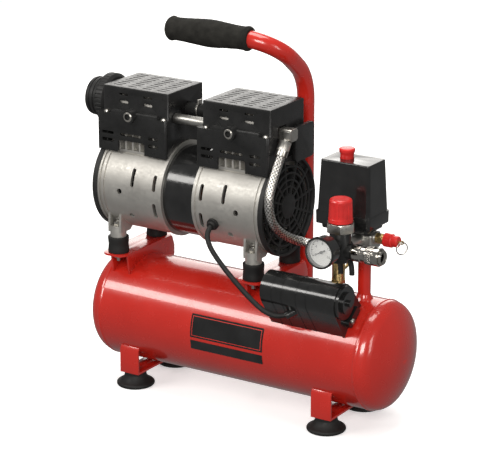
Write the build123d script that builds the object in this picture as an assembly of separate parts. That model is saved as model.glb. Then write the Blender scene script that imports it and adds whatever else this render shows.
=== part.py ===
from build123d import *
import math
import os

# Small silent air compressor: a lying 6 litre tank that carries a twin-cylinder oil-free
# pump, a bent carrying handle, a pressure switch, a regulator with gauge and a quick
# coupler.  Lengths are in millimetres, +Z is up, +X runs along the tank to the coupler
# end, and -Y is the side with the gauge.  Every part is modelled about the point on the
# ground under the middle of the tank and moved by PLACE when it is written.

# ------------------------------------------------------------------ driving dimensions
PLACE = Pos(8.6, 7.5, 0)

TANK_R = 69.0
TANK_LENGTH = 442.0
TANK_DOME = 33.0
TANK_KNUCKLE = 20.0
TANK_WALL = 2.5
TANK_Z = 93.3
DRAIN_Y = 22.0
SHEET = 2.5

FOOT_X = (-148.0, 138.0)
FOOT_Y = 46.0
FOOT_R = 24.5
FOOT_HEIGHT = 18.5
FOOT_BRACKET_Y = 60.0
FOOT_BRACKET_WIDTH = 28.0

PUMP_X = -72.0
PUMP_Z = 261.0
CASE_R = 60.0
CASE_WALL = 4.0
CASE_INNER_END = 23.0
CASE_OUTER_END = 120.0
CYLINDER_OFFSET = 74.7
PAD_START = 45.0
PAD_END = 103.5
PAD_Z = 305.5
BEARING_OFFSET = 45.0
STATOR_R = 56.5
SHAFT_R = 6.0
THROW = 6.0
BORE_R = 22.0
GRILLE_R = 63.0
GRILLE_DEPTH = 6.5

PISTON_TOP_Z = 336.0
BIG_END_INNER = 25.6
BIG_END_OUTER = 30.0
HEAD_BOLT_X = 29.5
HEAD_BOLT_Y = 31.5
PIPE_Y = -24.0
PIPE_Z = 357.0
HOSE_STUB_Y = 6.0
HOSE_STUB_Z = 363.0
FILTER_X = -194.7
FILTER_Z = 362.6

MOUNT_OFFSET = 102.0
MOUNT_Y = 42.5
MOUNT_R = 13.5
PLATE_Z = 174.3
MOUNT_TOP_Z = 195.5
BOSS_TOP_Z = 210.0
BOSS_R = 10.5
BRACKET_WIDTH = 36.0
BRACKET_Y = 58.0

COVER_TOP_Z = 390.0
COVER_STEP_Z = 356.5
COVER_BOTTOM_Z = 308.0
COVER_HALF_X = 49.5
COVER_HALF_Y = 39.0
SKIRT_NEAR = 55.5
SKIRT_FAR = 49.5
SKIRT_HALF_Y = 45.0
COVER_WALL = 2.4

POST_X = 30.0
POST_Y = 79.0
TUBE_R = 11.0
TUBE_WALL = 1.8
POST_FOOT_Z = 66.0
GRIP_Z = 464.3
GRIP_X0 = -119.5
GRIP_X1 = -1.0
GRIP_R = 15.5

RISER_X = 162.5
RISER_R = 8.0
MANIFOLD_Z0 = 227.0
MANIFOLD_Z1 = 250.0

SWITCH_X = 144.5
SWITCH_TOP_Z = 335.4
KNOB_X = SWITCH_X - 8.5
SKIRT_TOP_Z = 271.5
SKIRT_BOTTOM_Z = 256.5
SWITCH_BASE_Z = 250.0

REG_X = 160.0
REG_Y = -55.0
REG_Z = 238.5
KNOB_Z0 = 274.0

GAUGE_Z = 247.5
GAUGE_R = 19.5
GAUGE_FACE_Y = -105.0
GAUGE_BACK_Y = -84.0
NEEDLE_REST = 208.0

COUPLER_X1 = 219.0
SLEEVE_X0 = 197.0
SLEEVE_X1 = 215.5
SAFETY_Z = 241.5
RING_EYE_X = RISER_X + 50.8
RING_R = 7.4

CAP_BOX_X0 = 66.0
CAP_BOX_X1 = 181.0
CAP_TILT = 37.4
CAP_R = 22.0
CAP_CENTRE_H = 36.0
CAP_BASE_HALF = 24.0

CHECK_X = 126.0
CHECK_Z = 218.0
UNLOADER_Z = 190.0
UNLOADER_TOP_Z = 244.0

HOSE_D = 11.5
ELBOW_Y = -13.0
ELBOW_Z = 357.0
HOSE_TOP = Vector(61.0, ELBOW_Y, ELBOW_Z)
HOSE_DIR = Vector(0.0, -0.58, -0.8146)
LEAD_D = 6.4
LEAD_TILT = 19.0
LEAD_X = -19.5
LEAD_LAST_CORNER = (97.0, -84.5, 149.5)
LEAD_END = (110.0, -71.5, 156.7)
SWITCH_LEAD_D = 6.6
SWITCH_LEAD_STARTS = ((SWITCH_X - 18.0, -12.0), (SWITCH_X - 4.0, -13.5))
SWITCH_LEAD_ENDS = ((150.5, -37.0, 202.0), (165.5, -36.0, 202.5))
UNLOADER_D = 4.0


# ------------------------------------------------------------------ helpers
def block(x0, x1, y0, y1, z0, z1):
    """A box given by its lowest and highest corners."""
    centre = Pos((x0 + x1) / 2, (y0 + y1) / 2, (z0 + z1) / 2)
    return centre * Box(x1 - x0, y1 - y0, z1 - z0)


def rod_x(radius, x0, x1, y=0.0, z=0.0):
    """A round bar along X."""
    return Pos((x0 + x1) / 2, y, z) * Rot(0, 90, 0) * Cylinder(radius, abs(x1 - x0))


def rod_y(radius, y0, y1, x=0.0, z=0.0):
    """A round bar along Y."""
    return Pos(x, (y0 + y1) / 2, z) * Rot(90, 0, 0) * Cylinder(radius, abs(y1 - y0))


def rod_z(radius, z0, z1, x=0.0, y=0.0):
    """A round bar along Z."""
    return Pos(x, y, (z0 + z1) / 2) * Cylinder(radius, abs(z1 - z0))


def ring_x(outer, inner, x0, x1, y=0.0, z=0.0):
    """A tube length along X."""
    return rod_x(outer, x0, x1, y, z) - rod_x(inner, x0 - 1, x1 + 1, y, z)


def turned(outline):
    """A solid of revolution about X from (x, radius) corners."""
    return revolve(make_face(Polyline(*[(x, r) for x, r in outline], close=True)), Axis.X)


def turned_x(outline, x=0.0, y=0.0, z=0.0):
    """A turned part with its axis along X, through the point given."""
    return Pos(x, y, z) * turned(outline)


def turned_z(outline, x=0.0, y=0.0, z=0.0):
    """A turned part standing along Z; the outline gives (height, radius)."""
    return Pos(x, y, z) * Rot(0, -90, 0) * turned(outline)


def turned_front(outline, x=0.0, y=0.0, z=0.0):
    """A turned part with its axis along -Y; the outline gives (distance forward, radius)."""
    return Pos(x, y, z) * Rot(0, 0, -90) * turned(outline)


def hexagon_prism(across_flats, length):
    """A hexagonal bar along Z, centred."""
    return extrude(RegularPolygon(across_flats / 2, 6, major_radius=False), length / 2, both=True)


def hex_z(across_flats, z0, z1, x=0.0, y=0.0):
    """A hexagonal bar along Z."""
    return Pos(x, y, (z0 + z1) / 2) * hexagon_prism(across_flats, z1 - z0)


def hex_x(across_flats, x0, x1, y=0.0, z=0.0):
    """A hexagonal bar along X."""
    return Pos((x0 + x1) / 2, y, z) * Rot(0, 90, 0) * hexagon_prism(across_flats, x1 - x0)


def group(solids):
    """Several separate solids as one part."""
    return Compound([solid for shape in solids for solid in shape.solids()])


def upright_edges(shape):
    """The edges of a shape that run along Z."""
    return shape.edges().filter_by(Axis.Z)


def outer_tank():
    """The outside of the tank with its seam beads as a plain solid, used to fit parts against it."""
    tank = dished_cylinder(TANK_R, TANK_LENGTH, TANK_DOME, TANK_KNUCKLE)
    seam_x = TANK_LENGTH / 2 - TANK_DOME
    bead = [(-2.2, TANK_R - 1), (-2.2, TANK_R), (-0.9, TANK_R + 0.7), (0.9, TANK_R + 0.7),
            (2.2, TANK_R), (2.2, TANK_R - 1)]
    for x in (-seam_x, seam_x):
        tank += turned_x(bead, x, 0, TANK_Z)
    return tank


def dished_cylinder(radius, length, dome, knuckle):
    """A cylinder along X at the height of the tank, with dished ends: a crown and a knuckle."""
    half = length / 2 - dome
    crown = (dome**2 + (radius - knuckle) ** 2 - knuckle**2) / (2 * (dome - knuckle))
    lean = math.asin((radius - knuckle) / (crown - knuckle))
    join = (half + dome - crown + crown * math.cos(lean), crown * math.sin(lean))
    mid_knuckle = (lean + math.pi / 2) / 2
    bend = (half + knuckle * math.cos(mid_knuckle), radius - knuckle + knuckle * math.sin(mid_knuckle))
    cap = (half + dome - crown + crown * math.cos(lean / 2), crown * math.sin(lean / 2))
    outline = [Line((0, 0), (0, radius)), Line((0, radius), (half, radius)),
               ThreePointArc((half, radius), bend, join),
               ThreePointArc(join, cap, (half + dome, 0)), Line((half + dome, 0), (0, 0))]
    end = Pos(0, 0, TANK_Z) * revolve(make_face(outline), Axis.X)
    return end + mirror(end, Plane.YZ)


def side_sign(offset_side):
    """-1 for the left pump half and +1 for the right one."""
    return -1 if offset_side == "left" else 1


def at_side(side, x0, x1):
    """A span of distances from the middle of the pump as a span along X on one side."""
    sign = side_sign(side)
    return sorted((PUMP_X + sign * x0, PUMP_X + sign * x1))


def cord_tube(points, diameter, name):
    """A round cord along straight runs joined by the largest arcs that its runs allow."""
    corners = [Vector(*p) for p in points]
    radii = []
    for before, here, after in zip(corners, corners[1:], corners[2:]):
        run_in, run_out = here - before, after - here
        turn = math.radians(run_in.get_angle(run_out))
        radii.append(0.45 * min(run_in.length, run_out.length) / math.tan(turn / 2))
    path = FilletPolyline(*corners, radius=radii)
    section = Plane(origin=path @ 0, z_dir=path % 0) * Circle(diameter / 2)
    tube = sweep(section, path=path)
    expected = math.pi * diameter**2 / 4 * path.length
    print(name, "length", round(path.length, 1), "radii", [round(r, 1) for r in radii])
    print(name, "volume ratio", round(tube.volume / expected, 4))
    return tube


# ------------------------------------------------------------------ tank and frame
def tank_shell():
    """Hollow pressure vessel with raised seam beads, a welded riser and a drain seat."""
    hollow = dished_cylinder(TANK_R - TANK_WALL, TANK_LENGTH - 2 * TANK_WALL,
                             TANK_DOME - TANK_WALL, TANK_KNUCKLE - TANK_WALL)
    shell = outer_tank() - hollow
    shell += riser_pipe() + drain_seat()
    for x in (RISER_X, CHECK_X):
        shell -= rod_z(4.0, TANK_Z, TANK_Z + TANK_R + 5, x)
    return shell - rod_z(3.05, 0, TANK_Z, 0, DRAIN_Y)


def riser_pipe():
    """Outlet pipe that stands on the tank and carries the manifold, with a flared weld foot."""
    height = MANIFOLD_Z0 - TANK_Z - TANK_R
    outline = [(-1.5, 4.2), (-1.5, 12.0), (2.5, 9.6), (6.0, RISER_R), (height, RISER_R), (height, 4.2)]
    return turned_z(outline, RISER_X, 0, TANK_Z + TANK_R)


def drain_seat():
    """Hexagonal seat welded into the bottom of the tank for the drain screw."""
    return hex_z(14.0, 19.5, 25.0, 0, DRAIN_Y) + rod_z(6.5, 25.0, 31.0, 0, DRAIN_Y)


def rubber_feet():
    """Four suction-cup style feet: a rim, a concave flare and a neck."""
    profile = make_face([
        Line((3.6, 0), (FOOT_R - 2.0, 0)),
        ThreePointArc((FOOT_R - 2.0, 0), (FOOT_R, 2.6), (FOOT_R - 1.2, 5.2)),
        ThreePointArc((FOOT_R - 1.2, 5.2), (16.8, 9.2), (14.0, 14.5)),
        Line((14.0, 14.5), (14.0, FOOT_HEIGHT)),
        Line((14.0, FOOT_HEIGHT), (3.6, FOOT_HEIGHT)),
        Line((3.6, FOOT_HEIGHT), (3.6, 0)),
    ])
    foot = revolve(Plane.XZ * profile, Axis.Z) - rod_z(9.0, -1, 7.5)
    return group([Pos(x, y, 0) * foot for x in FOOT_X for y in (-FOOT_Y, FOOT_Y)])


def foot_bolts():
    """Screws up through the feet, with nuts inside the brackets."""
    bolt = rod_z(6.2, 4.0, 7.5) + rod_z(3.0, 7.5, 31.0) - hex_z(5.0, 3.0, 6.0)
    nut = hex_z(10.0, FOOT_HEIGHT + SHEET, FOOT_HEIGHT + SHEET + 5.0) - rod_z(3.0, 10, 40)
    return group([Pos(x, y, 0) * s for x in FOOT_X for y in (-FOOT_Y, FOOT_Y)
                  for s in (bolt, nut)])


def foot_bracket(x):
    """A U-shaped strap under the tank, its lips bent in to the tank and welded."""
    half = FOOT_BRACKET_WIDTH / 2
    lip_y, lip_z = FOOT_BRACKET_Y - 7.0, 61.0
    outline = Polyline(
        (-lip_y, lip_z), (-FOOT_BRACKET_Y, 50.0), (-FOOT_BRACKET_Y, FOOT_HEIGHT),
        (FOOT_BRACKET_Y, FOOT_HEIGHT), (FOOT_BRACKET_Y, 50.0), (lip_y, lip_z))
    strip = offset(outline, SHEET, side=Side.LEFT, closed=True)
    strap = extrude(Plane.YZ * make_face(strip), half, both=True)
    strap = Pos(x, 0, 0) * strap - outer_tank()
    for y in (-FOOT_Y, FOOT_Y):
        strap -= rod_z(3.2, 0, 40, x, y)
    return strap.solids().sort_by(SortBy.VOLUME)[-1]


def pump_bracket(x, notch_post):
    """A saddle across the tank: a plate with round ends and two webs that follow the tank."""
    half = BRACKET_WIDTH / 2
    plate = block(x - half, x + half, -BRACKET_Y, BRACKET_Y, PLATE_Z - SHEET, PLATE_Z)
    plate = fillet(upright_edges(plate), 12.0)
    web = make_face(Polyline(
        (-BRACKET_Y + 10, PLATE_Z - 1), (-BRACKET_Y + 12, 160), (-BRACKET_Y + 15, 140),
        (-BRACKET_Y + 20, 130), (BRACKET_Y - 10, 130), (BRACKET_Y - 1, 148),
        (BRACKET_Y - 1, 160), (BRACKET_Y - 6, PLATE_Z - 1), close=True))
    web = extrude(Plane.YZ * web, SHEET / 2, both=True)
    bracket = plate + [Pos(x + dx, 0, 0) * web for dx in (-half + 10.0, half - SHEET / 2)]
    bracket -= outer_tank()
    for y in (-MOUNT_Y, MOUNT_Y):
        bracket -= rod_z(3.2, 150, 190, x, y)
    if notch_post:
        bracket -= rod_z(TUBE_R, 100, 200, POST_X, POST_Y)
    return bracket.solids().sort_by(SortBy.VOLUME)[-1]


def tank_brackets():
    """The two straps that carry the feet and the two saddles that carry the pump."""
    return group([foot_bracket(x) for x in FOOT_X] + [
        pump_bracket(PUMP_X - MOUNT_OFFSET, False), pump_bracket(PUMP_X + MOUNT_OFFSET, True)])


def handle_path():
    """Up the post behind the pump, over in a compound bend, and along the grip."""
    return FilletPolyline(
        (POST_X, POST_Y, POST_FOOT_Z), (POST_X, POST_Y, 407.0), (34.0, 0, GRIP_Z),
        (GRIP_X0 + 1.0, 0, GRIP_Z), radius=[58.0, 44.0])


def handle_tube():
    """One bent tube; its lower end lies against the back of the tank, where it is welded."""
    path = handle_path()
    section = Plane(origin=path @ 0, z_dir=path % 0) * (Circle(TUBE_R) - Circle(TUBE_R - TUBE_WALL))
    foot_cap = rod_z(TUBE_R - TUBE_WALL, POST_FOOT_Z, POST_FOOT_Z + 2, POST_X, POST_Y)
    return sweep(section, path=path) + foot_cap - outer_tank()


def handle_grip():
    """Foam sleeve with a swollen middle and flared ends."""
    length = GRIP_X1 - GRIP_X0
    upper = Spline((2.0, GRIP_R + 0.6), (13.0, GRIP_R - 1.6), (length / 2, GRIP_R + 1.2),
                   (length - 13.0, GRIP_R - 1.6), (length - 2.0, GRIP_R + 0.6))
    profile = make_face([
        Line((0, 0), (0, GRIP_R - 1.0)),
        Line((0, GRIP_R - 1.0), (2.0, GRIP_R + 0.6)),
        upper,
        Line((length - 2.0, GRIP_R + 0.6), (length, GRIP_R - 1.0)),
        Line((length, GRIP_R - 1.0), (length, TUBE_R)),
        Line((length, TUBE_R), (1.0, TUBE_R)),
        Line((1.0, TUBE_R), (1.0, 0)),
        Line((1.0, 0), (0, 0)),
    ])
    grip = Pos(GRIP_X0, 0, GRIP_Z) * revolve(profile, Axis.X)
    path = handle_path()
    return grip - sweep(Plane(origin=path @ 0, z_dir=path % 0) * Circle(TUBE_R), path=path)


def vibration_mounts():
    """Four rubber blocks with a slight waist between the brackets and the pump legs."""
    h = MOUNT_TOP_Z - PLATE_Z
    outline = [(0, 3.2), (0, MOUNT_R), (3, MOUNT_R), (h / 2, MOUNT_R - 0.6), (h - 3, MOUNT_R),
               (h, MOUNT_R), (h, 3.2)]
    return group([turned_z(outline, PUMP_X + s * MOUNT_OFFSET, y, PLATE_Z)
                  for s in (-1, 1) for y in (-MOUNT_Y, MOUNT_Y)])


def mount_bolts():
    """Studs through the rubber mounts, with nuts under the plate and on the legs."""
    solids = []
    for s in (-1, 1):
        for y in (-MOUNT_Y, MOUNT_Y):
            x = PUMP_X + s * MOUNT_OFFSET
            stud = rod_z(3.0, PLATE_Z - 12.0, BOSS_TOP_Z + 6.5, x, y)
            lower = hex_z(10.0, PLATE_Z - SHEET - 5.0, PLATE_Z - SHEET, x, y)
            upper = hex_z(10.0, BOSS_TOP_Z, BOSS_TOP_Z + 5.0, x, y)
            solids.append(stud + lower + upper - outer_tank())
    return group(solids)


def frame_bolts():
    """All fasteners of the feet and the rubber mounts."""
    return group([foot_bolts(), mount_bolts()])


def name_panel():
    """Thin blank panel on the front of the tank, with a narrower strip below it."""
    skin = rod_x(TANK_R + 0.35, -47, 59, 0, TANK_Z) - rod_x(TANK_R, -50, 60, 0, TANK_Z)
    panel = skin & block(-47, 59, -80, 0, TANK_Z - 1.5, TANK_Z + 28.0)
    strip = skin & block(-47, 59, -80, 0, TANK_Z - 17.5, TANK_Z - 5.5)
    return group([panel, strip])


def drain_screw():
    """Knurled bleed screw below the seat."""
    screw = rod_z(7.0, 12.6, 19.0) + rod_z(3.0, 19.0, 29.5)
    for turn in range(12):
        screw -= Rot(0, 0, 30 * turn) * rod_z(0.8, 11, 20, 7.2)
    return Pos(0, DRAIN_Y, 0) * screw


# ------------------------------------------------------------------ pump housing
def leg(x, y):
    """Cast leg: a round boss on the mount and two ribs up to the crankcase."""
    boss = rod_z(BOSS_R, MOUNT_TOP_Z, BOSS_TOP_Z, x, y)
    sign = 1 if y > 0 else -1
    rib = make_face(Polyline((sign * (MOUNT_Y + 8), BOSS_TOP_Z - 8), (sign * (MOUNT_Y + 8), BOSS_TOP_Z + 3),
                             (sign * 49, 232), (sign * 16, 214), (sign * 30, BOSS_TOP_Z - 8), close=True))
    rib = extrude(Plane.YZ * rib, 1.6, both=True)
    return boss + [Pos(x + s * 8.4, 0, 0) * rib for s in (-1, 1)]


def side_holes(sign):
    """Cooling slots and bolt holes cast through the front and back of a crankcase."""
    cutters = []
    for offset_x, angles in ((35.0, (7, 27)), (35.0, (-28, -8)), (68.0, (8, 31))):
        for flip in (0, 180):
            middle = math.radians((angles[0] + angles[1]) / 2)
            long = CASE_R * math.radians(angles[1] - angles[0])
            slot = extrude(SlotOverall(long, 5.0), 9, both=True)
            place = Pos(PUMP_X + sign * offset_x, 0, PUMP_Z) * Rot(0, 0, flip) * Rot(
                -math.degrees(middle), 0, 0) * Pos(0, -CASE_R, 0) * Rot(90, 0, 0) * Rot(0, 0, 90)
            cutters.append(place * slot)
    for offset_x, angle in ((87.0, 0), (74.0, -32)):
        for flip in (0, 180):
            hole = Pos(PUMP_X + sign * offset_x, 0, PUMP_Z) * Rot(0, 0, flip) * Rot(
                -angle, 0, 0) * rod_y(3.6, -CASE_R - 9, -CASE_R + 9)
            cutters.append(hole)
    return cutters


def crankcase(side):
    """Cast housing of one pump half: barrel, rims, bearing bridge, cylinder pad and legs."""
    sign = side_sign(side)
    x0, x1 = at_side(side, CASE_INNER_END, CASE_OUTER_END)
    case = rod_x(CASE_R, x0, x1, 0, PUMP_Z)
    for a, b, r in ((CASE_INNER_END, 27.0, 61.3), (111.0, 113.5, 61.3), (117.0, CASE_OUTER_END, 61.8)):
        span = at_side(side, a, b)
        case += rod_x(r, span[0], span[1], 0, PUMP_Z)
    pad = at_side(side, PAD_START, PAD_END)
    case += block(pad[0], pad[1], -41, 41, PUMP_Z, PAD_Z)
    case -= block(pad[0], pad[1], -41, 41, PAD_Z, PAD_Z + 30)
    for y in (-MOUNT_Y, MOUNT_Y):
        case += leg(PUMP_X + sign * MOUNT_OFFSET, y)
    bridge = at_side(side, BEARING_OFFSET - 5, BEARING_OFFSET + 5)
    for a, b in ((CASE_INNER_END - 1, BEARING_OFFSET - 5), (BEARING_OFFSET + 5, CASE_OUTER_END + 1)):
        span = at_side(side, a, b)
        room = rod_x(CASE_R - CASE_WALL, span[0], span[1], 0, PUMP_Z)
        case -= room - block(pad[0] - 4, pad[1] + 4, -60, 60, PAD_Z - CASE_WALL, PAD_Z + 30)
    case -= rod_x(16.0, bridge[0] - 1, bridge[1] + 1, 0, PUMP_Z)
    for turn in range(6):
        case -= Pos(0, 0, PUMP_Z) * Rot(60 * turn + 30, 0, 0) * rod_x(9.0, bridge[0] - 1, bridge[1] + 1, 36)
    case -= rod_z(BORE_R + 3.0, PUMP_Z, PAD_Z + 1, PUMP_X + sign * CYLINDER_OFFSET)
    for y in (-MOUNT_Y, MOUNT_Y):
        case -= rod_z(3.0, 180, 240, PUMP_X + sign * MOUNT_OFFSET, y)
        case -= rod_z(6.6, BOSS_TOP_Z, BOSS_TOP_Z + 9.0, PUMP_X + sign * MOUNT_OFFSET, y)
    for cutter in side_holes(sign):
        case -= cutter
    if side == "right":
        case -= lead_rod(5.0, -6, 12)
    return case.solids().sort_by(SortBy.VOLUME)[-1]


def lead_axis():
    """Unit vector out of the crankcase along the entry of the motor lead."""
    return Vector(0, -math.cos(math.radians(LEAD_TILT)), -math.sin(math.radians(LEAD_TILT)))


def lead_rod(radius, start, end):
    """A round bar along the entry of the motor lead, measured from the crankcase surface."""
    place = Pos(LEAD_X, 0, PUMP_Z) * Rot(LEAD_TILT, 0, 0)
    return place * rod_y(radius, -CASE_R - end, -CASE_R - start)


def stator_band():
    """Black steel band between the two crankcases."""
    return ring_x(STATOR_R, STATOR_R - 2.0, PUMP_X - CASE_INNER_END, PUMP_X + CASE_INNER_END, 0, PUMP_Z)


def stator_core():
    """Laminated stator ring with winding slots."""
    core = ring_x(STATOR_R - 2.0, 28.6, PUMP_X - 22, PUMP_X + 22, 0, PUMP_Z)
    for turn in range(12):
        slot = rod_x(3.4, PUMP_X - 23, PUMP_X + 23, 37)
        core -= Pos(0, 0, PUMP_Z) * Rot(30 * turn, 0, 0) * slot
    return core


def stator():
    """Motor stator: the outer band and the core it holds."""
    return group([stator_band(), stator_core()])


def stator_windings():
    """Copper end turns on both faces of the core."""
    ends = [ring_x(48, 32, at_side(side, 22.0, 33.0)[0], at_side(side, 22.0, 33.0)[1], 0, PUMP_Z)
            for side in ("left", "right")]
    return group([fillet(end.edges().filter_by(GeomType.CIRCLE), 3.0) for end in ends])


def shaft_bearings():
    """Ball bearings in the two bridges, as races with a closed ring of balls."""
    rings = []
    for side in ("left", "right"):
        a, b = at_side(side, BEARING_OFFSET - 5, BEARING_OFFSET + 5)
        ring = ring_x(16.0, SHAFT_R + 0.03, a, b, 0, PUMP_Z)
        for face in (a, b):
            ring -= ring_x(13.4, 9.0, face - 0.8, face + 0.8, 0, PUMP_Z)
        rings.append(ring)
    return group(rings)


# ------------------------------------------------------------------ rotating group
def motor_shaft():
    """Shaft through both crankcases with an eccentric and counterweight at each cylinder."""
    shaft = rod_x(SHAFT_R, PUMP_X - 119, PUMP_X + 119, 0, PUMP_Z)
    for side in ("left", "right"):
        sign = side_sign(side)
        a, b = at_side(side, CYLINDER_OFFSET - 6, CYLINDER_OFFSET + 6)
        shaft += rod_x(SHAFT_R + THROW + 1.5, a, b, sign * THROW, PUMP_Z)
        a, b = at_side(side, CYLINDER_OFFSET - 14, CYLINDER_OFFSET - 8)
        weight = rod_x(22.0, a, b, 0, PUMP_Z) & block(a, b, -24, 24, PUMP_Z - 30, PUMP_Z + 30)
        cut_y = (-4, 30) if sign > 0 else (-30, 4)
        weight -= block(a - 1, b + 1, cut_y[0], cut_y[1], PUMP_Z - 30, PUMP_Z + 30)
        shaft += weight + rod_x(10.0, a, b, 0, PUMP_Z)
    return shaft


def rotor_core():
    """Laminated rotor with cast end rings, pressed on the shaft."""
    core = rod_x(28.0, PUMP_X - 21, PUMP_X + 21, 0, PUMP_Z) + rod_x(24.0, PUMP_X - 26, PUMP_X + 26, 0, PUMP_Z)
    return core - rod_x(SHAFT_R, PUMP_X - 30, PUMP_X + 30, 0, PUMP_Z)


def cooling_fan(side):
    """Axial fan on one end of the shaft: a hub, eight pitched blades and a rim."""
    sign = side_sign(side)
    a, b = at_side(side, 108.0, 118.0)
    middle = (a + b) / 2
    fan = rod_x(13.0, a, b, 0, PUMP_Z)
    for turn in range(8):
        blade = Pos(middle, 0, PUMP_Z) * Rot(45 * turn, 0, 0) * Rot(0, 0, sign * 32) * Pos(
            0, 0, 29.5) * Box(12.0, 2.0, 35.0)
        fan += blade
    fan &= rod_x(47.0, a, b, 0, PUMP_Z)
    fan += ring_x(50.0, 46.5, a, b, 0, PUMP_Z)
    return fan - rod_x(SHAFT_R, a - 1, b + 1, 0, PUMP_Z)


def cooling_fans():
    return group([cooling_fan("left"), cooling_fan("right")])


# ------------------------------------------------------------------ pistons and cylinders
def piston(side):
    """Rod and piston in one piece; the big end clears the eccentric all the way round."""
    x = PUMP_X + side_sign(side) * CYLINDER_OFFSET
    part = ring_x(BIG_END_OUTER, BIG_END_INNER, x - 5, x + 5, 0, PUMP_Z)
    part += block(x - 4, x + 4, -7, 7, PUMP_Z + 28, PISTON_TOP_Z - 6)
    part += rod_z(BORE_R - 0.6, PISTON_TOP_Z - 8, PISTON_TOP_Z - 5, x)
    return part + rod_z(BORE_R - 4.0, PISTON_TOP_Z - 5, PISTON_TOP_Z - 1.5, x)


def piston_seal(side):
    """Cup seal and retaining disc on the crown of a piston."""
    x = PUMP_X + side_sign(side) * CYLINDER_OFFSET
    cup = rod_z(BORE_R - 0.08, PISTON_TOP_Z - 5, PISTON_TOP_Z, x)
    return cup - rod_z(BORE_R - 4.0, PISTON_TOP_Z - 6, PISTON_TOP_Z - 1.5, x)


def piston_group(side):
    """A piston with the seal that it carries."""
    return group([piston(side), piston_seal(side)])


def cylinder(side):
    """Cylinder barrel on a square base, with upright cooling fins on its four faces."""
    x = PUMP_X + side_sign(side) * CYLINDER_OFFSET
    body = rod_z(BORE_R + 2.8, 301.0, 345.0, x)
    body += block(x - 28, x + 28, -39, 39, PAD_Z, PAD_Z + 4.5)
    for k in (-2.5, -1.5, -0.5, 0.5, 1.5, 2.5):
        body += block(x + 10.5 * k - 1.2, x + 10.5 * k + 1.2, -39, 39, PAD_Z + 4, 345.0)
    body += block(x - 36, x + 36, -36, 36, 341.0, 345.0)
    return body - rod_z(BORE_R, 290, 350, x)


def cylinders():
    """Both cylinders, each with its valve plate."""
    return group([cylinder("left"), cylinder("right"), valve_plates()])


def valve_plates():
    """Steel plates with suction and delivery ports between cylinder and head."""
    plates = []
    for side in ("left", "right"):
        x = PUMP_X + side_sign(side) * CYLINDER_OFFSET
        plate = fillet(upright_edges(block(x - 36, x + 36, -36, 36, 345.0, 348.5)), 5.0)
        for y in (-10, 10):
            plate -= rod_z(3.0, 340, 350, x, y)
        plates.append(plate)
    return group(plates)


def cylinder_head(side):
    """Cast head with two chambers, bolt bosses and pipe ports."""
    sign = side_sign(side)
    x = PUMP_X + sign * CYLINDER_OFFSET
    head = fillet(upright_edges(block(x - 36, x + 36, -36, 36, 348.5, 372.0)), 6.0)
    for y0, y1 in ((-30, -2), (2, 30)):
        head -= block(x - 28, x + 28, y0, y1, 348.0, 367.0)
    for k in range(-3, 4):
        head += block(x + 9.5 * k - 1.0, x + 9.5 * k + 1.0, -26, 26, 372.0, 378.0)
    inner = sorted((x - sign * 37, x - sign * 27))
    for y, z, r in ((PIPE_Y, PIPE_Z, 5.0), (HOSE_STUB_Y, HOSE_STUB_Z, 6.0)):
        head -= rod_x(r, inner[0], inner[1], y, z)
    if side == "right":
        head -= rod_x(5.0, x + 27, x + 40, ELBOW_Y, ELBOW_Z)
    for sx in (-HEAD_BOLT_X, HEAD_BOLT_X):
        for y in (-HEAD_BOLT_Y, HEAD_BOLT_Y):
            head -= rod_z(2.6, 340, 390, x + sx, y)
    return head


def cylinder_heads():
    return group([cylinder_head("left"), cylinder_head("right")])


def head_bolts():
    """Cap screws through head and valve plate, four to a cylinder."""
    solids = []
    for side in ("left", "right"):
        x = PUMP_X + side_sign(side) * CYLINDER_OFFSET
        for sx in (-HEAD_BOLT_X, HEAD_BOLT_X):
            for y in (-HEAD_BOLT_Y, HEAD_BOLT_Y):
                screw = rod_z(2.5, 348.5, 372.0, x + sx, y) + rod_z(4.5, 372.0, 376.0, x + sx, y)
                solids.append(screw - hex_z(3.6, 374.0, 377.0, x + sx, y))
    return group(solids)


# ------------------------------------------------------------------ head covers
def cover_centre(side):
    return PUMP_X + side_sign(side) * CYLINDER_OFFSET


def cover_outer(x):
    """Outside of a head cover: a narrow upper box on a wider skirt, joined by a raised step."""
    upper = block(x - COVER_HALF_X, x + COVER_HALF_X, -COVER_HALF_Y, COVER_HALF_Y, 340.0, COVER_TOP_Z)
    upper = fillet(upright_edges(upper), 2.5)
    upper = chamfer(upper.faces().sort_by(Axis.Z)[-1].edges(), 1.0)
    lower = block(x - SKIRT_NEAR, x + SKIRT_FAR, -SKIRT_HALF_Y, SKIRT_HALF_Y, COVER_BOTTOM_Z, COVER_STEP_Z)
    lower = fillet(upright_edges(lower), 4.0)
    step = block(x - 34, x + 36, -SKIRT_HALF_Y + 0.2, SKIRT_HALF_Y - 0.2, COVER_STEP_Z - 4, COVER_STEP_Z + 4.5)
    step = chamfer(step.faces().sort_by(Axis.Z)[-1].edges(), 1.5)
    return upper + lower + step


def cover_inner(x):
    """Hollow of a head cover."""
    w = COVER_WALL
    upper = block(x - COVER_HALF_X + w, x + COVER_HALF_X - w, -COVER_HALF_Y + w, COVER_HALF_Y - w,
                  300.0, COVER_TOP_Z - w)
    lower = block(x - SKIRT_NEAR + w, x + SKIRT_FAR - w, -SKIRT_HALF_Y + w, SKIRT_HALF_Y - w,
                  300.0, COVER_STEP_Z - w)
    return upper + lower


def top_vents(x):
    """Four columns of short slots in the top of a cover."""
    vents = []
    for column in range(4):
        for row in range(8):
            cx = x - 33.0 + 22.0 * column
            cy = -29.0 + 8.2 * row
            vents.append(Pos(cx, cy, COVER_TOP_Z) * Box(13.0, 2.6, 8.0))
    return vents


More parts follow.
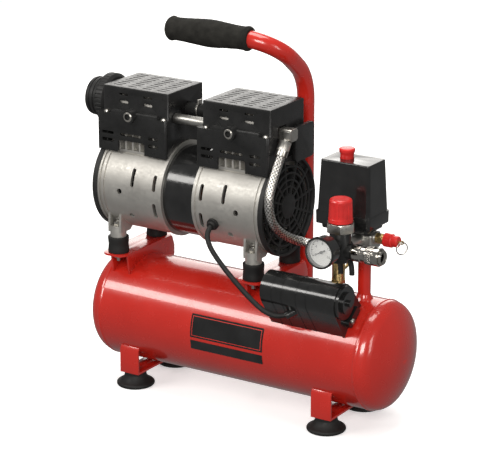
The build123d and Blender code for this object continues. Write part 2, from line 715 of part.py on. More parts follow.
def front_vents(x):
    """Slots through the front and back walls of a cover, and the arch that shows the fins."""
    cuts = []
    for cx in (-18.0, 18.5):
        for z, h in ((381.3, 2.6), (371.8, 4.2)):
            cuts.append(Pos(x + cx, 0, z) * Rot(90, 0, 0) * extrude(SlotOverall(13.5, h), 60, both=True))
    for cx, length in ((-39.0, 18.0), (-3.5, 33.0), (30.0, 15.0)):
        cuts.append(Pos(x + cx, 0, 331.0) * Rot(90, 0, 0) * extrude(SlotOverall(length, 3.6), 60, both=True))
    for cx, length in ((-39.0, 18.0), (30.0, 15.0)):
        cuts.append(Pos(x + cx, 0, 321.5) * Rot(90, 0, 0) * extrude(SlotOverall(length, 4.2), 60, both=True))
    arch = Pos(x - 3.5, 0, 305.0) * Box(40.0, 120.0, 37.0)
    cuts.append(fillet(arch.edges().filter_by(Axis.Y), 3.0))
    return cuts


def head_cover(side):
    """Moulded noise cover over one cylinder head."""
    x = cover_centre(side)
    cover = cover_outer(x) - cover_inner(x)
    for y in (-SKIRT_HALF_Y + 4.8, SKIRT_HALF_Y - 4.8):
        for sx in (-43.5, 43.0):
            cover += rod_z(4.6, COVER_BOTTOM_Z + 8, COVER_STEP_Z, x + sx, y)
            cover -= rod_z(1.9, COVER_BOTTOM_Z, COVER_STEP_Z + 1, x + sx, y)
    boss_x = x - 3.5
    cover += rod_y(8.5, -SKIRT_HALF_Y - 6.5, -COVER_HALF_Y + 1, boss_x, COVER_STEP_Z)
    cover -= rod_y(6.2, -SKIRT_HALF_Y - 8, -SKIRT_HALF_Y - 1.5, boss_x, COVER_STEP_Z)
    for cutter in top_vents(x) + front_vents(x):
        cover -= cutter
    for opening in cover_ports(side):
        cover -= opening
    cover -= cover_seat()
    return cover.solids().sort_by(SortBy.VOLUME)[-1]


def cover_ports(side):
    """Clearance holes in the cover walls for the pipes, the elbow and the filters."""
    x = cover_centre(side)
    inner = (x + COVER_HALF_X - 6, x + COVER_HALF_X + 12) if side == "left" else (
        x - SKIRT_NEAR - 6, x - COVER_HALF_X + 6)
    ports = [rod_x(6.6, inner[0], inner[1], PIPE_Y, PIPE_Z),
             rod_x(9.0, inner[0], inner[1], HOSE_STUB_Y, HOSE_STUB_Z)]
    if side == "left":
        ports.append(rod_x(12.2, x - COVER_HALF_X - 12, x - COVER_HALF_X + 6, 0, FILTER_Z))
    else:
        ports.append(block(x + COVER_HALF_X - 4, x + COVER_HALF_X + 4, ELBOW_Y - 10, ELBOW_Y + 10,
                           ELBOW_Z - 12, ELBOW_Z + 9))
        ports.append(rod_x(7.2, x + COVER_HALF_X - 4, x + COVER_HALF_X + 4, 27.0, 350.0))
    return ports


def cover_seat():
    """The round crankcases and grilles under the covers, used to fit the skirts over them."""
    seat = rod_x(CASE_R + 1.9, PUMP_X - 130, PUMP_X + 130, 0, PUMP_Z)
    for side in ("left", "right"):
        a, b = at_side(side, CASE_OUTER_END - 0.3, CASE_OUTER_END + GRILLE_DEPTH + 0.3)
        seat += rod_x(GRILLE_R + 0.4, a, b, 0, PUMP_Z)
    return seat


def cover_screws():
    """Pan-head screws at the corners of both covers."""
    solids = []
    for side in ("left", "right"):
        x = cover_centre(side)
        for y in (-SKIRT_HALF_Y + 4.8, SKIRT_HALF_Y - 4.8):
            for sx in (-43.5, 43.0):
                screw = rod_z(1.9, COVER_STEP_Z - 14, COVER_STEP_Z, x + sx, y)
                screw += turned_z([(0, 0), (0, 3.9), (1.2, 3.6), (2.4, 2.2), (2.8, 0)], x + sx, y, COVER_STEP_Z)
                solids.append(screw - cover_upper_walls(x))
    return group(solids)


def cover_fittings():
    """Screws and ringed plugs of both head covers and the screw of the capacitor box."""
    return group([cover_screws(), cover_plugs(), capacitor_screw()])


def cover_upper_walls(x):
    """The upper box of a cover, which the screw heads stand beside."""
    return block(x - COVER_HALF_X, x + COVER_HALF_X, -COVER_HALF_Y, COVER_HALF_Y, COVER_STEP_Z, COVER_TOP_Z)


def cover_plugs():
    """Bright ringed plugs in the front bosses of the covers."""
    outline = [(0, 0), (0, 6.2), (5.6, 6.2), (6.2, 5.4), (6.2, 4.0), (3.0, 3.6), (3.0, 0)]
    return group([turned_front(outline, cover_centre(side) - 3.5, -SKIRT_HALF_Y - 1.5, COVER_STEP_Z)
                  for side in ("left", "right")])


# ------------------------------------------------------------------ air paths of the pump
def air_filter_base():
    """Neck and knurled collar of the intake filter on the left cover."""
    x = FILTER_X
    base = rod_x(12.0, x - 4, x + 4, 0, FILTER_Z)
    base += turned_x([(-24, 0), (-24, 29), (-21, 32), (-11, 32), (-8, 28), (-8, 0)], x, 0, FILTER_Z)
    for turn in range(36):
        base -= Pos(x - 16.0, 0, FILTER_Z) * Rot(10 * turn, 0, 0) * rod_x(1.2, -4.6, 4.6, 32.4)
    return base - rod_x(9.0, x - 26, x + 6, 0, FILTER_Z)


def air_filter():
    """Filter neck and collar with the foam ring that it holds."""
    return group([air_filter_base(), filter_element()])


def air_filter_cap():
    """Ribbed screw-on cap of the intake filter, with a ring of inlet slots."""
    x = FILTER_X - 24
    outline = [(-19.5, 0), (-19.5, 21), (-17.5, 24), (-14, 25), (-12.5, 25), (-12, 23.4), (-10, 23.4),
               (-9.5, 25.2), (-6.5, 25.2), (-6, 23.6), (-4, 23.6), (-3.5, 25.4), (0, 25.4), (0, 0)]
    cap = turned_x(outline, x, 0, FILTER_Z) - rod_x(20.0, x - 17, x + 1, 0, FILTER_Z)
    for turn in range(10):
        cap -= Pos(0, 0, FILTER_Z) * Rot(36 * turn, 0, 0) * block(x - 25, x - 16, 11, 17, -1.5, 1.5)
    return cap


def filter_element():
    """Foam ring inside the intake filter."""
    x = FILTER_X - 24
    return ring_x(19.6, 9.5, x - 16.5, x - 0.5, 0, FILTER_Z)


def rear_filter():
    """Flat silencer box of the right head, behind the delivery elbow, on a square neck."""
    x = cover_centre("right") + COVER_HALF_X
    box = block(x + 2.8, x + 7.6, 6, 50, 316.0, 360.0)
    box = fillet(box.edges().filter_by(Axis.X), 6.0)
    neck = rod_x(7.0, x - 4, x + 3, 27.0, 350.0)
    return box + neck


def crossover_pipe():
    """Delivery pipe between the two heads, with a collar at each end."""
    left = PUMP_X - CYLINDER_OFFSET + 36
    right = PUMP_X + CYLINDER_OFFSET - 36
    pipe = rod_x(5.0, left - 3.5, right + 3.5, PIPE_Y, PIPE_Z)
    pipe += rod_x(6.2, left + 14, right - 8, PIPE_Y, PIPE_Z)
    return pipe - rod_x(3.6, left - 9, right + 9, PIPE_Y, PIPE_Z)


def intake_hose():
    """Rubber hose that joins the intake chambers of the two heads."""
    left = PUMP_X - CYLINDER_OFFSET + 36
    right = PUMP_X + CYLINDER_OFFSET - 36
    hose = rod_x(8.0, left + 4, right - 4, HOSE_STUB_Y, HOSE_STUB_Z)
    hose += rod_x(6.0, left - 6, right + 6, HOSE_STUB_Y, HOSE_STUB_Z)
    return hose - rod_x(4.2, left - 7, right + 7, HOSE_STUB_Y, HOSE_STUB_Z)


def hose_clamps():
    """Spring wire clamps on the intake hose."""
    clamps = []
    for x in (PUMP_X - 9, PUMP_X + 9):
        clamp = ring_x(9.3, 8.0, x - 1.6, x + 1.6, HOSE_STUB_Y, HOSE_STUB_Z)
        clamps.append(clamp + block(x - 1.6, x + 1.6, 2.5, 9.5, HOSE_STUB_Z + 8.6, HOSE_STUB_Z + 13.5))
    return group(clamps)


def clamped_hose():
    """Intake hose with its two clamps."""
    return group([intake_hose(), hose_clamps()])


def hose_elbow():
    """Cast elbow block on the right head: a thread into the head and a slanted outlet."""
    x = PUMP_X + CYLINDER_OFFSET + 36
    stub = rod_x(5.0, x - 8, x + 12, ELBOW_Y, ELBOW_Z)
    body = block(x + 12, x + 31, ELBOW_Y - 9, ELBOW_Y + 8, ELBOW_Z - 8, ELBOW_Z + 7)
    body = chamfer(body.edges().filter_by(Axis.X), 2.5)
    return body + stub + slanted(5.0, 4.0, 11.0)


def slanted(radius, start, end):
    """A round bar along the outlet of the elbow, between two distances from its middle."""
    plane = Plane(origin=HOSE_TOP + HOSE_DIR * start, z_dir=HOSE_DIR)
    return extrude(plane * Circle(radius), end - start)


def slanted_hex(across_flats, start, end):
    """A hexagonal bar along the outlet of the elbow."""
    plane = Plane(origin=HOSE_TOP + HOSE_DIR * start, x_dir=(1, 0, 0), z_dir=HOSE_DIR)
    return extrude(plane * RegularPolygon(across_flats / 2, 6, major_radius=False), end - start)


def hose_fittings():
    """Union nuts and crimped ferrules at both ends of the delivery hose."""
    top = slanted_hex(15.0, 11.0, 23.0) + slanted(7.4, 23.0, 30.0)
    x = CHECK_X - 9
    low = hex_x(13.0, x - 7, x, 0, CHECK_Z) + rod_x(7.2, x - 13, x - 7, 0, CHECK_Z)
    return group([top, low])


def delivery_fittings():
    """Elbow, union nuts and ferrules of the delivery hose."""
    return group([hose_elbow(), hose_fittings()])


def braided_hose():
    """Braided delivery hose from the elbow, past the grille, to the check valve."""
    start = HOSE_TOP + HOSE_DIR * 30.05
    route = [tuple(start), tuple(start + HOSE_DIR * 25.0), (61, -60, 284), (62, -54, 256), (64, -34, 236.5),
             (71, -13, 224), (85, 0, CHECK_Z), (CHECK_X - 22, 0, CHECK_Z)]
    return cord_tube(route, HOSE_D, "braided_hose")


def check_valve():
    """Check valve on the tank: a hexagonal body, side inlet, top nut and unloader port."""
    base = TANK_Z + TANK_R - 3
    body = rod_z(6.0, base, 180, CHECK_X) + hex_z(17.0, 168.0, 180.0, CHECK_X)
    body += rod_z(8.0, 180, CHECK_Z + 7, CHECK_X) + rod_x(5.0, CHECK_X - 9, CHECK_X, 0, CHECK_Z)
    body += hex_z(13.0, CHECK_Z + 7, CHECK_Z + 13, CHECK_X)
    body += rod_y(3.4, 0, 11, CHECK_X, UNLOADER_Z)
    return body - outer_tank() - rod_z(3.0, base - 2, CHECK_Z, CHECK_X)


def unloader_tube():
    """Thin tube from the check valve up to the bleed port under the pressure switch."""
    x = CHECK_X
    route = [(x, 11, UNLOADER_Z), (x, 20, UNLOADER_Z), (x, 27, 197), (x, 27, 210), (x, 20, 222),
             (x, 13, 232), (x, 13, UNLOADER_TOP_Z)]
    return cord_tube(route, UNLOADER_D, "unloader_tube")


# ------------------------------------------------------------------ fan covers
def fan_cover(side):
    """Grille over one end of the pump: a rim, spokes, concentric arcs and a hub plate."""
    sign = side_sign(side)
    a, b = at_side(side, CASE_OUTER_END, CASE_OUTER_END + GRILLE_DEPTH)
    front = CASE_OUTER_END + GRILLE_DEPTH
    cover = ring_x(GRILLE_R, GRILLE_R - 3.0, a, b, 0, PUMP_Z)
    seat = at_side(side, CASE_OUTER_END, CASE_OUTER_END + 2.0)
    cover += ring_x(GRILLE_R, CASE_R - CASE_WALL, seat[0], seat[1], 0, PUMP_Z)
    face = at_side(side, front - 3.5, front - 0.8)
    for r in (24.5, 33.0, 41.5, 50.0):
        cover += ring_x(r + 1.2, r - 1.2, face[0], face[1], 0, PUMP_Z)
    hub = at_side(side, front - 4.0, front)
    cover += rod_x(15.5, hub[0], hub[1], 0, PUMP_Z)
    for turn in range(12):
        spoke = block(face[0], face[1], -1.3, 1.3, 14.0, GRILLE_R - 2.0)
        cover += Pos(0, 0, PUMP_Z) * Rot(30 * turn + 8 * sign, 0, 0) * spoke
    return cover


# ------------------------------------------------------------------ pressure switch
def manifold():
    """Die-cast block on the riser with outlets to the switch, regulator and safety valve."""
    x = RISER_X
    body = fillet(block(x - 13, x + 15, -12, 13, MANIFOLD_Z0, MANIFOLD_Z1 - 3).edges(), 2.5)
    body += rod_z(8.5, MANIFOLD_Z1 - 4, MANIFOLD_Z1, x - 4)
    body += rod_y(8.0, REG_Y + 15, -11, x - 2, REG_Z) + rod_x(7.5, x + 14, x + 17, 0, SAFETY_Z)
    body -= rod_z(4.2, MANIFOLD_Z0 - 1, MANIFOLD_Z1 + 1, x)
    body -= rod_y(4.0, REG_Y, -4, x - 2, REG_Z)
    return body - rod_x(3.5, x, x + 20, 0, SAFETY_Z)


def switch_base():
    """Lower housing of the pressure switch, tapering down to the manifold."""
    x = SWITCH_X
    top = Pos(x, 0, SKIRT_BOTTOM_Z + 4) * RectangleRounded(66.4, 43.6, 4)
    bottom = Pos(x, 0, SWITCH_BASE_Z) * RectangleRounded(63, 41, 4)
    base = loft([bottom, top])
    base -= block(x - 28, x + 28, -17, 17, SWITCH_BASE_Z + 2.5, SKIRT_BOTTOM_Z + 5)
    base += rod_z(3.6, UNLOADER_TOP_Z, SWITCH_BASE_Z, CHECK_X, 13)
    for lead_x, lead_y in SWITCH_LEAD_STARTS:
        base += rod_z(5.2, SWITCH_BASE_Z - 8, SWITCH_BASE_Z, lead_x, lead_y)
        base -= rod_z(SWITCH_LEAD_D / 2, SWITCH_BASE_Z - 9, SWITCH_BASE_Z - 1, lead_x, lead_y)
    return base


def switch_cover():
    """Tapered pressure-switch hood with a wider skirt and an opening for the knob."""
    x = SWITCH_X
    top = Pos(x, 0, SWITCH_TOP_Z) * RectangleRounded(67.4, 42.0, 4)
    low = Pos(x, 0, SKIRT_TOP_Z) * RectangleRounded(72.4, 49.6, 5)
    hood = loft([low, top])
    hood = fillet(hood.faces().sort_by(Axis.Z)[-1].edges(), 1.6)
    skirt_top = Pos(x, 0, SKIRT_TOP_Z) * RectangleRounded(75.4, 53.0, 5)
    skirt_low = Pos(x, 0, SKIRT_BOTTOM_Z) * RectangleRounded(74.8, 52.6, 5)
    skirt = loft([skirt_low, skirt_top])
    hollow_top = Pos(x, 0, SWITCH_TOP_Z - 2.4) * RectangleRounded(62.4, 37.0, 2)
    hollow_low = Pos(x, 0, SKIRT_BOTTOM_Z - 1) * RectangleRounded(68.0, 45.6, 2)
    hood = hood + skirt - loft([hollow_low, hollow_top])
    return hood - rod_z(8.9, SWITCH_TOP_Z - 5, SWITCH_TOP_Z + 1, KNOB_X)


def switch_mechanism():
    """Contact block and diaphragm housing inside the pressure switch."""
    x = SWITCH_X
    block_part = fillet(block(x - 24, x + 24, -13, 13, 264.0, 300.0).edges().filter_by(Axis.Z), 2.0)
    block_part += rod_z(14.0, SWITCH_BASE_Z + 2.5, 264.0, x)
    for k in range(4):
        block_part -= block(x - 21 + 11 * k, x - 13 + 11 * k, -14, -7, 285.0, 301.0)
    block_part += rod_z(6.0, 300.0, 311.0, x + 14)
    return block_part - rod_z(2.6, 290.0, 312.0, KNOB_X)


def switch_knob():
    """Red pull-push knob: a flared head on a round stem and a pin down to the contacts."""
    base = SWITCH_TOP_Z - 5.0
    outline = [(0, 0), (0, 8.2), (10.6, 8.4), (13.4, 9.6), (16.2, 9.8), (17.6, 8.6), (17.6, 0)]
    return turned_z(outline, KNOB_X, 0, base) + rod_z(2.2, base - 31.0, base + 1, KNOB_X)


# ------------------------------------------------------------------ regulator and gauge
def regulator_body():
    """Black regulator body with ports to the manifold, the gauge and the coupler."""
    body = rod_z(13.0, REG_Z - 10, 262.0, REG_X, REG_Y)
    body += rod_z(9.0, REG_Z - 15, REG_Z - 10, REG_X, REG_Y)
    body += rod_y(10.5, REG_Y, REG_Y + 15, REG_X, REG_Z)
    body += rod_x(9.5, REG_X, REG_X + 17.5, REG_Y, REG_Z)
    body += rod_y(8.5, REG_Y - 17, REG_Y, REG_X, GAUGE_Z)
    body -= rod_z(9.5, REG_Z + 17, 263.0, REG_X, REG_Y)
    return body - rod_y(5.0, REG_Y - 18, REG_Y - 8, REG_X, GAUGE_Z)


def regulator_bonnet():
    """Chromed hexagonal bonnet nut over the spring chamber."""
    nut = hex_z(32.0, 262.0, 273.0, REG_X, REG_Y) & turned_z(
        [(0, 0), (0, 17.0), (1.2, 18.2), (9.8, 18.2), (11.0, 16.6), (11.0, 0)], REG_X, REG_Y, 262.0)
    nut += rod_z(9.4, REG_Z + 17.2, 262.0, REG_X, REG_Y)
    return nut - rod_z(5.06, 240, 280, REG_X, REG_Y)


def regulator_spindle():
    """Adjusting screw with a splined head that the knob slides on."""
    spindle = rod_z(5.0, REG_Z + 19, 284.0, REG_X, REG_Y) + rod_z(4.0, 284.0, 290.0, REG_X, REG_Y)
    return spindle


def regulator_knob():
    """Fluted red knob, hollow below, which is pulled up to turn and pushed down to lock."""
    outline = [(0, 11.4), (0, 14.8), (4.4, 14.8), (5.0, 14.4), (25.8, 13.7), (27.6, 12.8), (28.4, 11.0),
               (28.4, 0), (21.0, 0), (21.0, 5.06), (6.0, 5.06), (6.0, 8.0), (22.4, 8.0), (23.4, 11.4)]
    knob = turned_z(outline, REG_X, REG_Y, KNOB_Z0)
    for turn in range(16):
        groove = Rot(0, 0, 22.5 * turn) * Pos(14.9, 0, KNOB_Z0 + 14.5) * Rot(0, -2.0, 0) * Cylinder(1.25, 19)
        knob -= Pos(REG_X, REG_Y, 0) * groove
    return knob


def gauge_case():
    """Round gauge case with a bezel and a threaded stem to the regulator."""
    depth = GAUGE_BACK_Y - GAUGE_FACE_Y
    outline = [(-6.0, 0), (-6.0, 5.0), (0, 5.0), (0, 15.5), (2.0, 17.5), (depth - 5.0, 17.8),
               (depth - 4.2, GAUGE_R), (depth - 1.0, GAUGE_R), (depth, GAUGE_R - 1.0), (depth, GAUGE_R - 2.4),
               (depth - 8.6, GAUGE_R - 2.4), (depth - 8.6, 0)]
    return turned_front(outline, REG_X, GAUGE_BACK_Y, GAUGE_Z)


def gauge_stem():
    """Brass connector between the gauge case and the regulator."""
    stem = hex_along_y(11.0, GAUGE_BACK_Y + 0.0, REG_Y - 17, REG_X, GAUGE_Z)
    stem += rod_y(5.0, REG_Y - 17, REG_Y - 9, REG_X, GAUGE_Z)
    return stem - rod_y(5.0, GAUGE_BACK_Y - 1, GAUGE_BACK_Y + 6, REG_X, GAUGE_Z)


def gauge_housing():
    """Gauge case with its brass connector."""
    return group([gauge_case(), gauge_stem()])


def hex_along_y(across_flats, y0, y1, x, z):
    """A hexagonal bar along Y."""
    return Pos(x, (y0 + y1) / 2, z) * Rot(90, 0, 0) * hexagon_prism(across_flats, y1 - y0)


def gauge_dial():
    """Dial plate, bored for the needle spindle."""
    y = GAUGE_FACE_Y + 8.6
    return rod_y(GAUGE_R - 2.4, y - 0.8, y, REG_X, GAUGE_Z) - rod_y(0.85, y - 2, y + 1, REG_X, GAUGE_Z)


def gauge_needle():
    """Needle with a long thin tip, a broad tail, a hub and a short spindle."""
    y = GAUGE_FACE_Y + 5.4
    blade = make_face(Polyline((12.6, 0.12), (1.0, 0.75), (-6.0, 1.15), (-6.0, -1.15), (1.0, -0.75), (12.6, -0.12),
                               close=True))
    blade = Rot(90, 0, 0) * extrude(Rot(0, 0, NEEDLE_REST) * blade, 0.5)
    needle = Pos(REG_X, y, GAUGE_Z) * blade
    needle += rod_y(1.7, y - 1.3, y + 0.4, REG_X, GAUGE_Z)
    return needle + rod_y(0.8, y, y + 3.1, REG_X, GAUGE_Z)


def gauge_lens():
    """Clear window of the gauge."""
    return rod_y(GAUGE_R - 2.4, GAUGE_FACE_Y + 1.0, GAUGE_FACE_Y + 2.6, REG_X, GAUGE_Z)


# ------------------------------------------------------------------ coupler and safety valve
def coupler_body():
    """Chromed quick coupler: a hex, a barrel with a step, and a bored nose."""
    x = REG_X + 17.5
    outline = [(0, 0), (0, 8.0), (3.0, 8.0), (3.0, 10.4), (12.4, 10.4), (13.6, 9.2), (COUPLER_X1 - x - 1, 9.2),
               (COUPLER_X1 - x, 8.4), (COUPLER_X1 - x, 0)]
    body = turned_x(outline, x, REG_Y, REG_Z)
    body -= rod_x(5.3, x + 16, COUPLER_X1 + 1, REG_Y, REG_Z)
    body -= turned_x([(0, 5.0), (0, 5.3), (2.5, 7.2), (2.6, 5.0)], COUPLER_X1 - 2.5, REG_Y, REG_Z)
    return body


def coupler_sleeve():
    """Sprung release sleeve with a knurled grip."""
    outline = [(0, 9.3), (0, 10.6), (1.0, 11.4), (SLEEVE_X1 - SLEEVE_X0 - 1.0, 11.4),
               (SLEEVE_X1 - SLEEVE_X0, 10.8), (SLEEVE_X1 - SLEEVE_X0, 9.3)]
    sleeve = turned_x(outline, SLEEVE_X0, REG_Y, REG_Z)
    for turn in range(30):
        sleeve -= Pos(0, REG_Y, REG_Z) * Rot(12 * turn, 0, 0) * rod_x(0.55, SLEEVE_X0 + 2, SLEEVE_X0 + 9.5, 11.55)
    return sleeve


def safety_body():
    """Brass hexagonal body of the safety valve with its red stepped cap."""
    x = RISER_X + 17
    return hex_x(12.0, x, x + 8, 0, SAFETY_Z) + rod_x(5.4, x + 8, x + 11, 0, SAFETY_Z)


def safety_cap():
    """Red stepped cap of the safety valve, ribbed round its wide part."""
    x = RISER_X + 28
    outline = [(0, 0), (0, 8.4), (10.0, 8.4), (10.8, 7.6), (10.8, 7.0), (17.6, 7.0), (18.4, 6.2), (18.4, 0)]
    cap = turned_x(outline, x, 0, SAFETY_Z)
    for turn in range(14):
        cap -= Pos(0, 0, SAFETY_Z) * Rot(360 / 14 * turn, 0, 0) * rod_x(0.8, x + 1.5, x + 8.5, 8.7)
    return cap - rod_x(1.66, x + 2, x + 20, 0, SAFETY_Z)


def safety_stem():
    """Brass pull stem with a flattened eye for the ring."""
    x = RISER_X + 28
    stem = rod_x(1.6, x + 6, RING_EYE_X - 1.2, 0, SAFETY_Z)
    eye = rod_y(2.6, -0.7, 0.7, RING_EYE_X, SAFETY_Z) - rod_y(1.35, -2, 2, RING_EYE_X, SAFETY_Z)
    return stem - rod_y(1.9, -3, 3, RING_EYE_X, SAFETY_Z) + eye


def safety_ring():
    """Split pull ring hanging from the stem."""
    ring = Torus(RING_R, 0.75)
    return Pos(RING_EYE_X, 0, SAFETY_Z - RING_R) * Rot(0, 0, -32) * Rot(0, 90, 0) * ring


# ------------------------------------------------------------------ capacitor box and leads
def cap_frame():
    """Local frame on the tank's upper front: X along the tank, Z square to the tank surface."""
    angle = math.radians(90 + CAP_TILT)
    foot = Vector(0, math.cos(angle) * TANK_R, TANK_Z + math.sin(angle) * TANK_R)
    return Pos(0, foot.Y, foot.Z) * Rot(CAP_TILT, 0, 0)


def cap_section(radius, base_half, base_z):
    """Half-round top on straight sloping sides, as a face in the local YZ plane."""
    lean = math.atan2(base_half - radius, CAP_CENTRE_H)
    shoulder_y = radius * math.cos(lean)
    shoulder_z = CAP_CENTRE_H + radius * math.sin(lean)
    return Plane.YZ * make_face([
        Line((-base_half, base_z), (base_half, base_z)),
        Line((base_half, base_z), (shoulder_y, shoulder_z)),
        ThreePointArc((shoulder_y, shoulder_z), (0, CAP_CENTRE_H + radius), (-shoulder_y, shoulder_z)),
        Line((-shoulder_y, shoulder_z), (-base_half, base_z)),
    ])


def capacitor_box():
    """Moulded capacitor housing on the tank: ribbed saddle, open below, closed at the left."""
    length = CAP_BOX_X1 - CAP_BOX_X0 - 14
    solid = Pos(CAP_BOX_X0, 0, 0) * extrude(cap_section(CAP_R, CAP_BASE_HALF, -12.0), length)
    for x in (15.0, 29.0, 49.0, 63.0):
        collar = extrude(cap_section(CAP_R + 0.45, CAP_BASE_HALF + 0.45, -12.0), 1.2)
        solid += Pos(CAP_BOX_X0 + x, 0, 0) * collar
    hollow = extrude(cap_section(CAP_R - 2.2, CAP_BASE_HALF - 2.6, -14.0), length)
    box = cap_frame() * (solid - Pos(CAP_BOX_X0 + 2.4, 0, 0) * hollow)
    box -= outer_tank()
    box += lead_boss()
    box -= lead_entry(LEAD_D / 2)
    for x, y, z in SWITCH_LEAD_ENDS:
        box -= rod_z(SWITCH_LEAD_D / 2 + 0.2, z - 6, z + 8, x, y)
    return box.solids().sort_by(SortBy.VOLUME)[-1]


def lead_entry(radius):
    """A round bar along the last run of the motor lead, through the wall of the capacitor box."""
    end = Vector(*LEAD_END)
    heading = (end - Vector(*LEAD_LAST_CORNER)).normalized()
    plane = Plane(origin=end - heading * 15.0, z_dir=heading)
    return extrude(plane * Circle(radius), 16.0)


def lead_boss():
    """Moulded sleeve round the motor lead on the capacitor box."""
    return lead_entry(LEAD_D / 2 + 2.0) - lead_entry(LEAD_D / 2) - outer_tank()


def capacitor_end():
    """End cap of the capacitor box: a stepped round disc over a flat lower flange."""
    x = CAP_BOX_X1 - 14
    plate = Pos(x, 0, 0) * extrude(cap_section(CAP_R + 0.8, CAP_BASE_HALF + 0.8, -12.0), 3.0)
    plate += rod_x(CAP_R - 1.0, x + 3, x + 7, 0, CAP_CENTRE_H)
    plate += rod_x(13.5, x + 7, x + 10.5, 0, CAP_CENTRE_H)
    plate += rod_x(4.2, x + 10.5, x + 14.0, 0, CAP_CENTRE_H)
    plate += fillet(block(x + 3, x + 9, -14, 14, 2, 12).edges().filter_by(Axis.X), 3.0)
    plate -= rod_x(1.6, x + 4, x + 12, -6.0, 7.0)
    return (cap_frame() * plate) - outer_tank()


def capacitor_housing():
    """Capacitor box with its end cap."""
    return group([capacitor_box(), capacitor_end()])


def capacitor_screw():
    """Chromed screw in the end cap."""
    x = CAP_BOX_X1 - 5
    screw = turned_x([(0, 0), (0, 3.6), (1.6, 3.2), (2.6, 1.6), (2.8, 0)], x, -6.0, 7.0)
    screw -= Pos(x + 2.6, -6.0, 7.0) * Box(1.6, 0.9, 5.0)
    return cap_frame() * (screw + rod_x(1.6, x - 4, x, -6.0, 7.0))


def capacitor():
    """Motor-run capacitor can with two terminals, inside its housing."""
    can = fillet(rod_x(15.5, CAP_BOX_X0 + 8, CAP_BOX_X0 + 88, 0, 0).edges(), 1.5)
    for y in (-6, 6):
        can += rod_x(2.0, CAP_BOX_X0 + 87, CAP_BOX_X0 + 94, y, 0)
    return cap_frame() * Pos(0, 0, CAP_CENTRE_H) * can


def lead_gland():
    """Ribbed rubber gland where the motor lead leaves the right crankcase."""
    gland = lead_rod(5.0, -3.6, 0.5) + lead_rod(7.6, 0.0, 3.2) + lead_rod(5.4, 3.0, 7.2)
    return gland - lead_rod(LEAD_D / 2, 1.0, 9.0)


def motor_lead():
    """Lead from the gland, down in front of the tank shoulder and round into the capacitor box."""
    start = Vector(LEAD_X, 0, PUMP_Z) + lead_axis() * (CASE_R + 1.0)
    route = [tuple(start), tuple(start + lead_axis() * 15.0), (-12, -79, 221), (3, -79.5, 203), (28, -81, 181),
             (54, -84, 163), (76, -87, 152), LEAD_LAST_CORNER, LEAD_END]
    return cord_tube(route, LEAD_D, "motor_lead")


def switch_leads():
    """Two leads from the switch base down to the capacitor box."""
    tubes = []
    for number, ((sx, sy), (ex, ey, ez)) in enumerate(zip(SWITCH_LEAD_STARTS, SWITCH_LEAD_ENDS), 1):
        route = [(sx, sy, SWITCH_BASE_Z - 1), (sx, sy, SWITCH_BASE_Z - 14), (sx + 12, sy - 14, SWITCH_BASE_Z - 27),
                 (ex, ey, ez + 14), (ex, ey, ez)]
        tubes.append(cord_tube(route, SWITCH_LEAD_D, "switch_lead_%d" % number))
    return group(tubes)


# ------------------------------------------------------------------ writing the parts
PARTS = {
    "tank_shell": tank_shell,
    "tank_brackets": tank_brackets,
    "rubber_feet": rubber_feet,
    "frame_bolts": frame_bolts,
    "handle_tube": handle_tube,
    "handle_grip": handle_grip,
    "vibration_mounts": vibration_mounts,
    "name_panel": name_panel,
    "drain_screw": drain_screw,
    "stator": stator,
    "stator_windings": stator_windings,
    "shaft_bearings": shaft_bearings,
    "motor_shaft": motor_shaft,
    "rotor_core": rotor_core,
    "cooling_fans": cooling_fans,
    "cylinders": cylinders,
    "cylinder_heads": cylinder_heads,
    "head_bolts": head_bolts,
    "cover_fittings": cover_fittings,
    "air_filter": air_filter,
    "air_filter_cap": air_filter_cap,
    "rear_filter": rear_filter,
    "crossover_pipe": crossover_pipe,
    "intake_hose": clamped_hose,
    "delivery_fittings": delivery_fittings,
    "braided_hose": braided_hose,
    "check_valve": check_valve,
    "unloader_tube": unloader_tube,
    "manifold": manifold,
    "switch_base": switch_base,
    "switch_cover": switch_cover,
    "switch_mechanism": switch_mechanism,
    "switch_knob": switch_knob,
    "regulator_body": regulator_body,
    "regulator_bonnet": regulator_bonnet,
    "regulator_spindle": regulator_spindle,
    "regulator_knob": regulator_knob,
    "gauge_case": gauge_housing,
    "gauge_dial": gauge_dial,
    "gauge_needle": gauge_needle,
    "gauge_lens": gauge_lens,
    "coupler_body": coupler_body,
    "coupler_sleeve": coupler_sleeve,
    "safety_body": safety_body,
    "safety_cap": safety_cap,
    "safety_stem": safety_stem,
    "safety_ring": safety_ring,
    "capacitor_box": capacitor_housing,
    "capacitor": capacitor,
    "lead_gland": lead_gland,
    "motor_lead": motor_lead,
    "switch_leads": switch_leads,
}
SIDED_PARTS = {
    "crankcase": crankcase,
    "piston": piston_group,
    "head_cover": head_cover,
    "fan_cover": fan_cover,
}


def main():
    os.makedirs("parts", exist_ok=True)
    for name, make in PARTS.items():
        export_step(PLACE * make(), "parts/%s.step" % name)
    for name, make in SIDED_PARTS.items():
        for side in ("left", "right"):
            export_step(PLACE * make(side), "parts/%s_%s.step" % (name, side))


main()
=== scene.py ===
import math

import bmesh
import bpy
from mathutils import Matrix, Vector, noise


